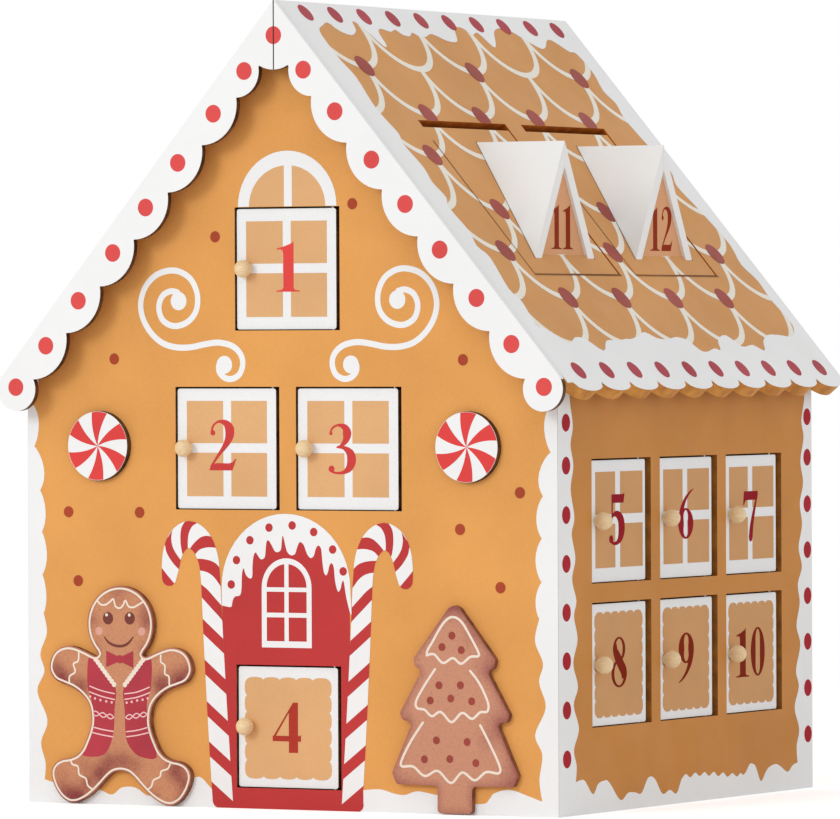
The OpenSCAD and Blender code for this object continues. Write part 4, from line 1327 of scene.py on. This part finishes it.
plate_drop = PLATE_T / math.cos(DORMER_PITCH)
for side, _, hatches in ROOFS:
    for n in hatches:
        low, high = box_mm(f"dormer_{n}")
        face_x = max(high.x, -low.x) - FRONT_IN
        deep = (face_x - min(abs(low.x), abs(high.x))) * math.tan(slope)
        middle = (low.y + high.y) / 2
        place, body = on_dormer(side, face_x, middle), f"hatch_{n}"
        top_z, foot_z = high.z - plate_drop - 0.1, high.z - deep + 0.04
        half = (top_z - foot_z) / math.tan(DORMER_PITCH) - 0.05
        front = [[(-half, foot_z), (half, foot_z), (0, top_z)]]
        lay(f"dormer_{n}_front", body, dormer_tan, place, 1, front, slot="roof_paint")
        numerals = number(n, 0, foot_z + DORMER_NUMBER_RISE, DORMER_NUMBER_H, DORMER_BREADTH[side])
        lay(f"dormer_{n}_number", body, NUMBER_REDS_LIT_AND_SHADED["rust"], place, 2, numerals, within=front)
        ridge, front_foot, rear_foot = (
            (down_slope(z), y - front_y) for z, y in ((high.z, middle), (low.z, low.y), (low.z, high.y))
        )
        # The fine line at the plates' foot is painted contact shadow, with the plates' burnt edge.
        foot_burn_and_shade_lines = line([ridge, front_foot], FOOT_BURN_AND_SHADE_LINE) + line([ridge, rear_foot], FOOT_BURN_AND_SHADE_LINE)
        lay(f"dormer_{n}_foot", body, scorch_and_painted_shade, on_roof(side, HATCH_RECESS), 3, foot_burn_and_shade_lines)
print("dormer triangle:", round(half * 2, 1), "wide,", round(top_z - foot_z, 1), "high")

# %% [markdown]
# ## Peppermint discs
# Each disc is printed as a swirl of six red and six white rays. A ray's edges bend a little as they run
# outwards, like pulled sugar.

# %% Swirls on the discs
RAYS, RAY_START, RAY_WIDE = 6, 11, 30
RAY_BEND = math.radians(15)
SWIRL_INSET, WHITE_INSET = 0.35, 0.2


def swirl_ray(cx, cz, r, start, steps=10, rim_steps=6):
    """A ray from the middle to the rim, RAY_WIDE degrees wide."""

    def at(angle, share):
        turn = math.radians(angle) + RAY_BEND * (1 - share)
        return cx + r * share * math.cos(turn), cz + r * share * math.sin(turn)

    end = start + RAY_WIDE
    outwards = [at(start, i / steps) for i in range(steps + 1)]
    rim = [at(start + (end - start) * k / rim_steps, 1) for k in range(1, rim_steps)]
    return outwards + rim + [at(end, i / steps) for i in range(steps, 0, -1)]


disc_low, disc_high = box_mm("peppermint_discs")
disc_r = (disc_high.z - disc_low.z) / 2
disc_z = (disc_high.z + disc_low.z) / 2
disc_place = on_wall(0, disc_low.y - front_y)
for middle in (disc_low.x + disc_r, disc_high.x - disc_r):
    rays = [swirl_ray(middle, disc_z, disc_r - SWIRL_INSET, RAY_START + 360 // RAYS * k) for k in range(RAYS)]
    white = [disc(middle, disc_z, disc_r - WHITE_INSET, 72)]
    lay("peppermint_white", "house", icing_white, disc_place, 1, white, slot="peppermint_paint")
    lay("peppermint_red", "house", sweet_red, disc_place, 2, rays, slot="peppermint_paint")


def disc_rim_finish():
    finish, shader = start_finish("disc_rim", 0.55)
    face = faces_towards(finish, (0, -1, 0), 0.8)
    colour_in(finish, shader, blend(
        finish, face, patchy(finish, BURNT_EDGE), tone(finish, (0.62, 0.16, 0.13), 0.05)
    ))
    fine_grain(finish, shader)
    return finish


give("peppermint_discs", disc_rim_finish())
print("disc radius:", round(disc_r, 1))

# %% [markdown]
# ## Gingerbread man and tree
# Both are thin boards with a printed biscuit surface: baked lighter in the middle and browner towards the
# rim, and airbrushed darker at hands and feet. The tree is also darker down the right side of its tiers,
# which is painted shade. A flat sheet has no corners inside its outline, so nothing could hold that shading.
# The sheet therefore gets extra corners on a fine grid, and each corner stores how toasted and shaded it is.

# %% Outlines of the man and the tree
cut_low, _ = box_mm("gingerbread_cutouts")
cut_place = on_wall(0, cut_low.y - front_y)


def face_outlines(mesh, y):
    """The closed outlines of a mesh's flat faces that lie at depth y and look to the front."""

    def corner(i):
        return round(mesh.vertices[i].co.x / MM, 3), round(mesh.vertices[i].co.z / MM, 3)

    edges = {}
    for face in mesh.polygons:
        if face.normal.y < -0.9 and abs(face.center.y / MM - y) < 0.05:
            corners = [corner(i) for i in face.vertices]
            edges |= dict.fromkeys(zip(corners, corners[1:] + corners[:1]))
    rim = {p: q for p, q in edges if (q, p) not in edges and p != q}
    outlines = []
    while rim:
        at, loop = next(iter(rim)), []
        while at in rim:
            loop.append(at)
            at = rim.pop(at)
        outlines.append(loop)
    return outlines


cut_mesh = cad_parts["gingerbread_cutouts"].data
cut_outlines = sorted(face_outlines(cut_mesh, cut_low.y), key=lambda outline: min(p[0] for p in outline))
man_outline, tree_outline = cut_outlines[0], cut_outlines[-1]
print("outlines:", [len(outline) for outline in cut_outlines])

# %% Biscuit sheets with stored toasting
GRID_STEP, GRID_MARGIN = 2.0, 0.8


def inside_of(outline, x, y):
    hit = False
    for (ax, ay), (bx, by) in zip(outline, outline[1:] + outline[:1]):
        if (ay > y) != (by > y) and x < (bx - ax) * (y - ay) / (by - ay) + ax:
            hit = not hit
    return hit


def rim_distance(outline, x, y):
    best = math.inf
    for (ax, ay), (bx, by) in zip(outline, outline[1:] + outline[:1]):
        dx, dy = bx - ax, by - ay
        t = max(0.0, min(1.0, ((x - ax) * dx + (y - ay) * dy) / (dx * dx + dy * dy + 1e-12)))
        best = min(best, math.hypot(x - ax - dx * t, y - ay - dy * t))
    return best


def grid_inside(outline):
    """Corners on a grid that lie inside the outline and not too near to it."""
    spans = (range(int(min(c) / GRID_STEP) - 1, int(max(c) / GRID_STEP) + 2) for c in zip(*outline))
    columns, rows = ([i * GRID_STEP for i in span] for span in spans)
    return [
        Vector((x, y)) for x in columns for y in rows
        if inside_of(outline, x, y) and rim_distance(outline, x, y) > GRID_MARGIN
    ]


def biscuit_sheet(name, outline, clouds, rim_reach, rim_share):
    """A sheet that stores how toasted and shaded it is. The clouds are dark spots (x, z, radius, strength).
    """
    rim = [Vector(p) for p in (outline if area_of(outline) > 0 else outline[::-1])]
    corners = rim + grid_inside(outline)
    spots, _, triangles, _, _, _ = delaunay_2d_cdt(corners, [], [list(range(len(rim)))], INSIDE_ONLY, WELD)
    mesh = bpy.data.meshes.new(name)
    mesh.from_pydata([cut_place(p.x, p.y, LIFTS[1]) * MM for p in spots], [], triangles)
    values = []
    for p in spots:
        value = rim_share * max(0.0, 1 - rim_distance(outline, p.x, p.y) / rim_reach) ** 1.5
        for x, z, r, strength in clouds:
            value += strength * math.exp(-((p.x - x) ** 2 + (p.y - z) ** 2) / (r * r))
        values.append(min(1.0, value))
    mesh.attributes.new("toast_and_shade", "FLOAT", "POINT").data.foreach_set("value", values)
    piece = bpy.data.objects.new(name, mesh)
    bpy.context.scene.collection.objects.link(piece)
    return piece


def biscuit_finish(name, light, toasted):
    finish, shader = start_finish(name, 0.66)
    toast_and_shade = node(finish, "Attribute", attribute_name="toast_and_shade").outputs["Fac"]
    crumbs = spread(finish, noise(finish, 700, 3, roughness=0.7), 0.3, 0.7, -0.16, 0.16)
    base = blend(finish, calculate(finish, "ADD", toast_and_shade, crumbs, use_clamp=True), light, toasted)
    freckles = spread(finish, noise(finish, 1900, 2), 0.58, 0.70, 0.0, 0.35)
    colour_in(finish, shader, blend(finish, freckles, base, tuple(c * 0.55 for c in toasted)))
    patchy_gloss(finish, shader, 0.55, 0.75, 200)
    roughen(finish, shader, noise(finish, 420, 5, roughness=0.7), 0.35, 0.0006)
    return finish


def rim_brown():
    finish, shader = start_finish("baked_rim", 0.65)
    colour_in(finish, shader, patchy(finish, ((0.34, 0.14, 0.07), (0.18, 0.065, 0.035)), 260))
    roughen(finish, shader, noise(finish, 420, 5), 0.3, 0.0005)
    return finish


print("grid corners inside the man:", len(grid_inside(man_outline)))

# %% The airbrushed biscuits, with painted shade on the tree
MAN_X, TREE_X = -87.0, 87.0
MAN_CLOUDS = [
    (-31, 57.5, 5, 0.9), (-34.4, 62.7, 3.5, 0.45), (-21, 54, 4.5, 0.75), (21.5, 55.5, 5, 0.85),
    (31.5, 57.5, 5.5, 0.9), (35.5, 62.5, 3, 0.4), (14.1, 84, 4, 0.65), (12.9, 89.5, 3.5, 0.4),
    (-14.3, 84.4, 3.5, 0.4), (-1.3, 97, 5.5, 0.35), (12.5, 72, 3.5, 0.35), (-12.5, 72, 3.5, 0.3),
    (-11.5, 14.1, 4.5, 0.85), (-6.2, 19.5, 4.5, 0.7), (1.4, 20.5, 4.5, 0.6), (8.1, 18.5, 4, 0.4),
    (-17.8, 9.8, 3.5, 0.6), (-19.6, 18, 3.5, 0.35), (-23.2, 3.2, 5, 1), (-29.9, 5.5, 4.5, 0.65),
    (-31.5, 13, 3.5, 0.25), (29.3, 16.3, 5, 0.85), (33.5, 10.7, 3.5, 0.6), (31.9, 4.5, 3.5, 0.35),
    (18, 6, 3, 0.3),
]
# The stronger spots down the right side of the tiers are painted shade; the others are the print's airbrush.
TREE_AIRBRUSH_AND_SHADE = [
    (17, 66, 6, 0.45), (24, 42, 7, 0.45), (29, 17, 7, 0.45), (-28, 14, 6, 0.25), (0, 93, 6, 0.6),
    (9, 80, 5, 0.35), (17, 34, 5, 0.3), (-26, 42, 5, 0.25),
]


def biscuit(name, outline, middle, clouds, rim_reach, rim_share, light, toasted):
    clouds = [(middle + x, z, r, strength) for x, z, r, strength in clouds]
    piece = biscuit_sheet(f"gingerbread_{name}_print", outline, clouds, rim_reach, rim_share)
    piece.data.materials.append(biscuit_finish(f"{name}_biscuit", light, toasted))
    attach(piece, "house")
    print(name, "corners:", len(piece.data.vertices))


biscuit("man", man_outline, MAN_X, MAN_CLOUDS, 3.5, 0.35, (0.64, 0.285, 0.15), (0.255, 0.05, 0.05))
biscuit("tree", tree_outline, TREE_X, TREE_AIRBRUSH_AND_SHADE, 4.5, 0.5, (0.63, 0.295, 0.185), (0.31, 0.085, 0.08))
give("gingerbread_cutouts", rim_brown())

# %% [markdown]
# The icing on the man is a thin line just inside his rim, zigzag cuffs, a hair line and a smile, with a
# knitted waistcoat and a bow tie in plum. The tree has a piped tier line with drips on each of its three
# tiers.

# %% Lines for the man
VEST_LEFT = [
    (-17.2, 66.4), (-13.8, 66.2), (-3.0, 55.2), (-3.2, 44), (-3.8, 33.5), (-6.3, 26), (-9.7, 22.7),
    (-15.5, 21.8), (-20.9, 23.1), (-18, 31), (-15.5, 39.3), (-15.5, 47.7), (-17.6, 54),
]
VEST_RIGHT = [
    (16.6, 66.4), (12.8, 66.2), (2, 55.2), (2.3, 43), (2.8, 31), (6.2, 25.2), (11.2, 22.2), (19.1, 22.2),
    (16.6, 31), (14.5, 39.3), (14.1, 47.7), (16.2, 54),
]
ICED_LINES = [
    [(-12.6, 94.3), (-10.6, 91.9), (-8, 91.6), (-5.4, 93), (-3.6, 94.3), (-2.4, 91), (-0.1, 90.2),
     (1.6, 91.6), (2.9, 93.7), (4.6, 91), (7.2, 90.7), (9.8, 91.9), (12, 93.1)],
    [(-22.2, 69.3), (-22.6, 65.6), (-25.1, 64.3), (-24.2, 60.6), (-27.2, 58.5), (-27.2, 55)],
    [(21.6, 68.9), (21.6, 66), (23.7, 64.3), (23.7, 60.6), (25.8, 59.3), (26, 55.6)],
    [(-26.8, 20.2), (-25.9, 18.1), (-23, 17.2), (-22.2, 13.5), (-18.8, 11.8), (-17.6, 8.5), (-14.2, 6.4)],
    [(26.2, 19.3), (24.9, 17.2), (21.6, 16), (20.8, 13.5), (17.4, 11.8), (16.2, 8.9), (13.2, 6.8)],
]
KNIT_LINES = [
    [(-16.4, 54.2), (-10, 52.2), (-3.2, 51)],
    [(-16.6, 51.6), (-10, 49.6), (-3.2, 48.3)],
    [(2.3, 51), (9, 52), (15.4, 54.3)],
    [(2.3, 48.5), (9, 49.6), (15.6, 51.8)],
    [(-16.2, 35.8), (-10, 34.5), (-3.9, 33.7)],
    [(-16.8, 33.3), (-10, 32), (-4.1, 31.2)],
    [(3, 33.7), (9, 34.5), (14.9, 36)],
    [(3.2, 31.4), (9, 32.2), (15.6, 33.7)],
]
STITCHES = [
    (-16.2, 49.4), (-13.6, 48.6), (-10.7, 47.9), (-7.6, 47.4), (-4.7, 47), (3.3, 47), (6, 47.4),
    (8.9, 48.1), (11.8, 48.5), (14.5, 49.2),
]
SMILE = [
    (-8.4, 76.8, 0.6), (-6.3, 74.5, 1.0), (-3.4, 73.2, 1.2), (-0.6, 72.8, 1.25), (2.4, 73.2, 1.2),
    (4.9, 74.8, 1.0), (6.8, 77, 0.6),
]
BOW_TIE = [
    [(-7.5, 70.6), (-1.6, 68.2), (-1.6, 65.4), (-7.5, 63.1)],
    [(6.9, 70.7), (1, 68.2), (1, 65.4), (6.9, 62.9)],
    disc(-0.3, 66.8, 1.9),
]
LAPELS = [(-13.2, 66.6, -3.4, 55.2), (12.0, 66.6, 2.4, 55.2)]
ICED_LINE, RIM_LINE, KNIT_LINE, PLAIT_LINE = 0.85, 0.95, 0.6, 0.55


def shifted(shapes, dx):
    return [[(p[0] + dx, *p[1:]) for p in shape] for shape in shapes]


def inset(outline, inwards):
    """The outline drawn smaller by a distance all round."""
    count = len(outline)
    turn = 1 if area_of(outline) > 0 else -1
    points = []
    for i, p in enumerate(outline):
        a, b = outline[(i - 2) % count], outline[(i + 2) % count]
        dx, dy = b[0] - a[0], b[1] - a[1]
        size = math.hypot(dx, dy) or 1.0
        points.append((p[0] - dy / size * inwards * turn, p[1] + dx / size * inwards * turn))
    return points


def strokes(groups, width):
    return [shape for points in groups for shape in line(smooth(points, 5), width)]


def plait(x0, z0, x1, z1, loops, height):
    """Two crossing waves between two points, as in a knitted plait."""
    count = loops * 8
    return [[
        (x0 + (x1 - x0) * i / count, z0 + (z1 - z0) * i / count + sign * height * math.sin(math.pi * i / 8))
        for i in range(count + 1)
    ] for sign in (1, -1)]


print("strokes of icing on the man:", len(ICED_LINES))

# %% Icing on the man
waistcoat_plum = printed("waistcoat_plum", (0.49, 0.05, 0.07), 0.10, 0.12, 0.6)
knit_pink = printed("knit_pink", (0.95, 0.57, 0.56), 0.04, 0.04)
cocoa_brown = printed("cocoa_brown", (0.20, 0.052, 0.04), 0.08, 0.1)
cheek_pink = printed("cheek_pink", (0.80, 0.40, 0.31), 0.06, 0.08)


def lay_cut(sheet, finish, layer, shapes, within=()):
    lay(sheet, "house", finish, cut_place, layer, shapes, within=within, slot="cutout_paint")


icing = strokes(ICED_LINES, ICED_LINE)
for x0, z0, x1, z1 in LAPELS:
    icing += [disc(x0 + (x1 - x0) * i / 8, z0 + (z1 - z0) * i / 8, 1.2, 14) for i in range(9)]
knitted = strokes(KNIT_LINES, KNIT_LINE) + [disc(x, z, 0.6, TINY_DOT_CORNERS) for x, z in STITCHES]
for wave in plait(-15.2, 42, -3.6, 40.2, 3, 1.05) + plait(2.7, 40.2, 14.1, 42, 3, 1.05):
    knitted += line(wave, PLAIT_LINE)
vest = shifted([smooth(VEST_LEFT, 3, True), smooth(VEST_RIGHT, 3, True)], MAN_X)
rim_line = inset(man_outline, 1.1)
iced = line(rim_line, RIM_LINE, closed=True) + shifted(icing, MAN_X)
eyes = [oval(-6.5, 85.5, 2.7, 2.85, 24), oval(5.1, 85.6, 2.7, 2.85, 24)]
cheeks = [disc(-11.3, 79.6, 1.95, SMALL_DOT_CORNERS), disc(11.4, 79.6, 1.95, SMALL_DOT_CORNERS)]
glints = [disc(-7.2, 87, 0.75, TINY_DOT_CORNERS), disc(4.9, 87.1, 0.75, TINY_DOT_CORNERS)]
lay_cut("man_waistcoat", waistcoat_plum, 2, vest, [rim_line])
lay_cut("man_waistcoat", waistcoat_plum, 4, shifted(BOW_TIE, MAN_X))
lay_cut("man_icing", piped_vanilla, 3, iced, [inset(man_outline, 0.65)])
lay_cut("man_knit", knit_pink, 3, shifted(knitted, MAN_X), [inset(man_outline, 1.4)])
lay_cut("man_face", cocoa_brown, 3, shifted(eyes + line(smooth(SMILE, 5)), MAN_X))
lay_cut("man_cheeks", cheek_pink, 2, shifted(cheeks, MAN_X))
lay_cut("man_icing", piped_vanilla, 4, shifted(glints, MAN_X))
print("man icing triangles:", len(sheets["man_icing"]["faces"]))

# %% Icing on the tree
TREE_LINES = [
    [(-14.0, 71.2), (-13.6, 73.4), (-11.5, 76.6), (-5.7, 85.4), (-1.1, 88.5), (3.5, 86.7), (7.7, 80.8),
     (12.0, 73.6), (12.3, 71.3), (8.1, 70.8), (3.5, 67.7), (-0.7, 70.2), (-5.7, 67.9), (-10.2, 71.7),
     (-13.9, 71.2)],
    [(-9.8, 65.0), (-14.8, 58.3), (-19.4, 50.8), (-19.0, 47.5), (-15.2, 46.8), (-11.5, 44.0), (-6.9, 46.0),
     (-1.5, 41.5), (3.9, 45.8), (8.9, 43.2), (13.1, 46.2), (16.7, 46.7), (17.0, 50.8), (12.7, 59.2),
     (8.1, 64.6)],
    [(-16.1, 41.0), (-22.3, 32.5), (-26.9, 24.2), (-26.9, 21.2), (-21.1, 21.2), (-15.2, 17.1), (-8.6, 19.6),
     (-1.9, 14.3), (3.9, 19.2), (10.2, 15.8), (16.0, 19.6), (22.2, 19.2), (22.8, 22.5), (17.7, 32.5),
     (13.1, 40.4)],
]
TREE_SWEETS = [
    (-1.1, 80.2), (-6.2, 75.0), (3.6, 73.8), (-7.8, 57.9), (3.1, 58.1), (-12.3, 51.0), (-1.8, 52.1),
    (8.8, 51.0), (-9.2, 33.2), (6.4, 32.8), (-15.4, 24.6), (-2.4, 25.0), (10.8, 23.5),
]
TREE_LINE = 1.15
tree_red = printed("tree_sweet_red", (0.37, 0.068, 0.05), 0.08, 0.1)
sweets = [disc(x, z, 1.8, SMALL_DOT_CORNERS) for x, z in TREE_SWEETS]
lay_cut("tree_icing", piped_vanilla, 2, shifted(strokes(TREE_LINES, TREE_LINE), TREE_X))
lay_cut("tree_sweets", tree_red, 2, shifted(sweets, TREE_X))
print("tree icing triangles:", len(sheets["tree_icing"]["faces"]))

# %% [markdown]
# ## Build the sheets
# Everything drawn so far is still numbers. Now each sheet becomes one mesh with its finish, and rides on the
# empty of the body that carries its board.

# %% Make a mesh of every sheet
for name, held in sheets.items():
    mesh = bpy.data.meshes.new(name)
    mesh.from_pydata(held["spots"], [], held["faces"])
    mesh.materials.append(held["finish"])
    piece = bpy.data.objects.new(name, mesh)
    bpy.context.scene.collection.objects.link(piece)
    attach(piece, held["body"])
print("sheets:", len(sheets), "triangles:", sum(len(held["faces"]) for held in sheets.values()))

# %% [markdown]
# ## Table, light and camera
# The photograph is a plain product shot: white ground, soft light from the upper left, and a long lens that
# looks 29 degrees round the corner. The floor is a white disc that keeps the shadow and fades into the white
# surroundings. Floor and surroundings look brighter to the camera than they shine on the house, so that the
# ground is white while the boards keep their shade.

# %% Floor
FLOOR_R = 1.2
FLOOR_GLOW = 0.42
FADE_START, FADE_END = 0.45, 1.1
WHITE = rgb((1, 1, 1))


def seen_directly(owner):
    """1 for what the camera sees, also in a reflection or through glass, and 0 for the light on things."""
    rays = node(owner, "LightPath").outputs
    seen = calculate(owner, "MAXIMUM", rays["Is Camera Ray"], rays["Is Glossy Ray"])
    return calculate(owner, "MAXIMUM", seen, rays["Is Transmission Ray"])


def floor_finish():
    finish, shader = start_finish("paper_floor", 0.9, 0.0)
    paper = spread(finish, noise(finish, 6, 2), 0.3, 0.7)
    colour_in(finish, shader, blend(finish, paper, (0.90, 0.90, 0.90), (0.91, 0.91, 0.91)))
    strength = calculate(finish, "MULTIPLY", seen_directly(finish), FLOOR_GLOW)
    glow = node(finish, "Emission", {"Color": WHITE, "Strength": strength})
    lit = node(finish, "AddShader", {0: shader.outputs["BSDF"], 1: glow.outputs["Emission"]})
    clear = node(finish, "BsdfTransparent")
    away = measure(finish, "LENGTH", node(finish, "TexCoord").outputs["Object"])
    fade = spread(finish, away, FADE_START, FADE_END)
    mixed = node(finish, "MixShader", {0: fade, 1: lit.outputs["Shader"], 2: clear.outputs["BSDF"]})
    surface = finish.node_tree.nodes["Material Output"].inputs["Surface"]
    finish.node_tree.links.new(mixed.outputs["Shader"], surface)
    return finish


bpy.ops.mesh.primitive_circle_add(vertices=96, radius=FLOOR_R, fill_type="NGON", location=(0, 0, 0))
floor = bpy.context.object
floor.name = "paper_floor"
floor.data.materials.append(floor_finish())
floor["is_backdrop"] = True
print("floor radius:", FLOOR_R)

# %% Lights
KEY_STRENGTH, SKY_STRENGTH = 25.2, 0.775


def soft_box(name, where, aim, size, power):
    data = bpy.data.lights.new(name, "AREA")
    data.shape, data.size, data.energy = "SQUARE", size, power
    lamp = bpy.data.objects.new(name, data)
    lamp.location = where
    lamp.rotation_mode = "QUATERNION"
    lamp.rotation_quaternion = (Vector(aim) - Vector(where)).to_track_quat("-Z", "Y")
    bpy.context.scene.collection.objects.link(lamp)


soft_box("key_softbox", (-0.75, -3.0, 1.35), (0, 0, 0.15), 1.1, KEY_STRENGTH)
world = bpy.context.scene.world or bpy.data.worlds.new("studio")
bpy.context.scene.world = world
world.use_nodes = True
world.node_tree.nodes.clear()
shown = node(world, "Background", {"Color": WHITE, "Strength": 1.0}).outputs[0]
sky = node(world, "Background", {"Color": WHITE, "Strength": SKY_STRENGTH}).outputs[0]
chosen = node(world, "MixShader", {0: seen_directly(world), 1: sky, 2: shown}).outputs[0]
node(world, "OutputWorld", {"Surface": chosen})
print("key:", KEY_STRENGTH, "W, surroundings:", SKY_STRENGTH)

# %% [markdown]
# The camera's place, direction and lens come from a fit of the house's corners to the photograph. The fit
# also found a small roll, so the camera's axes are turned by it before they are written into its matrix.

# %% Camera
YAW, PITCH, ROLL = math.radians(28.864), math.radians(0.528), math.radians(0.232)
CAMERA_PLACE = (1.7401, -3.16255, 0.2131)

forward = Vector((-math.sin(YAW) * math.cos(PITCH), math.cos(YAW) * math.cos(PITCH), -math.sin(PITCH)))
level = Vector((math.cos(YAW), math.sin(YAW), 0))
below = forward.cross(level)
right = math.cos(ROLL) * level + math.sin(ROLL) * below
down = -math.sin(ROLL) * level + math.cos(ROLL) * below
camera_data = bpy.data.cameras.new("camera")
camera_data.sensor_width, camera_data.lens = 36.0, 331.26
camera_data.clip_start, camera_data.clip_end = 0.05, 50
camera = bpy.data.objects.new("camera", camera_data)
bpy.context.scene.collection.objects.link(camera)
turn = Matrix((right, -down, -forward)).transposed().to_4x4()
camera.matrix_world = Matrix.Translation(CAMERA_PLACE) @ turn
bpy.context.scene.camera = camera
bpy.context.scene.view_settings.view_transform = "Standard"
print("camera at", [round(v, 3) for v in camera.location])

# %% [markdown]
# ## Last measurements
# How far the corners of the dressed house's box lie from those of the CAD model is printed, in millimetres.
# The dressed house must not be bigger than the CAD model.

# %% Print how far the house grew
made_box = [list(corner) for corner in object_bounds()]
grown = [[round((m - c) * 1000, 3) for m, c in zip(a, b)] for a, b in zip(made_box, cad_box)]
print("grown by, in mm:", grown)
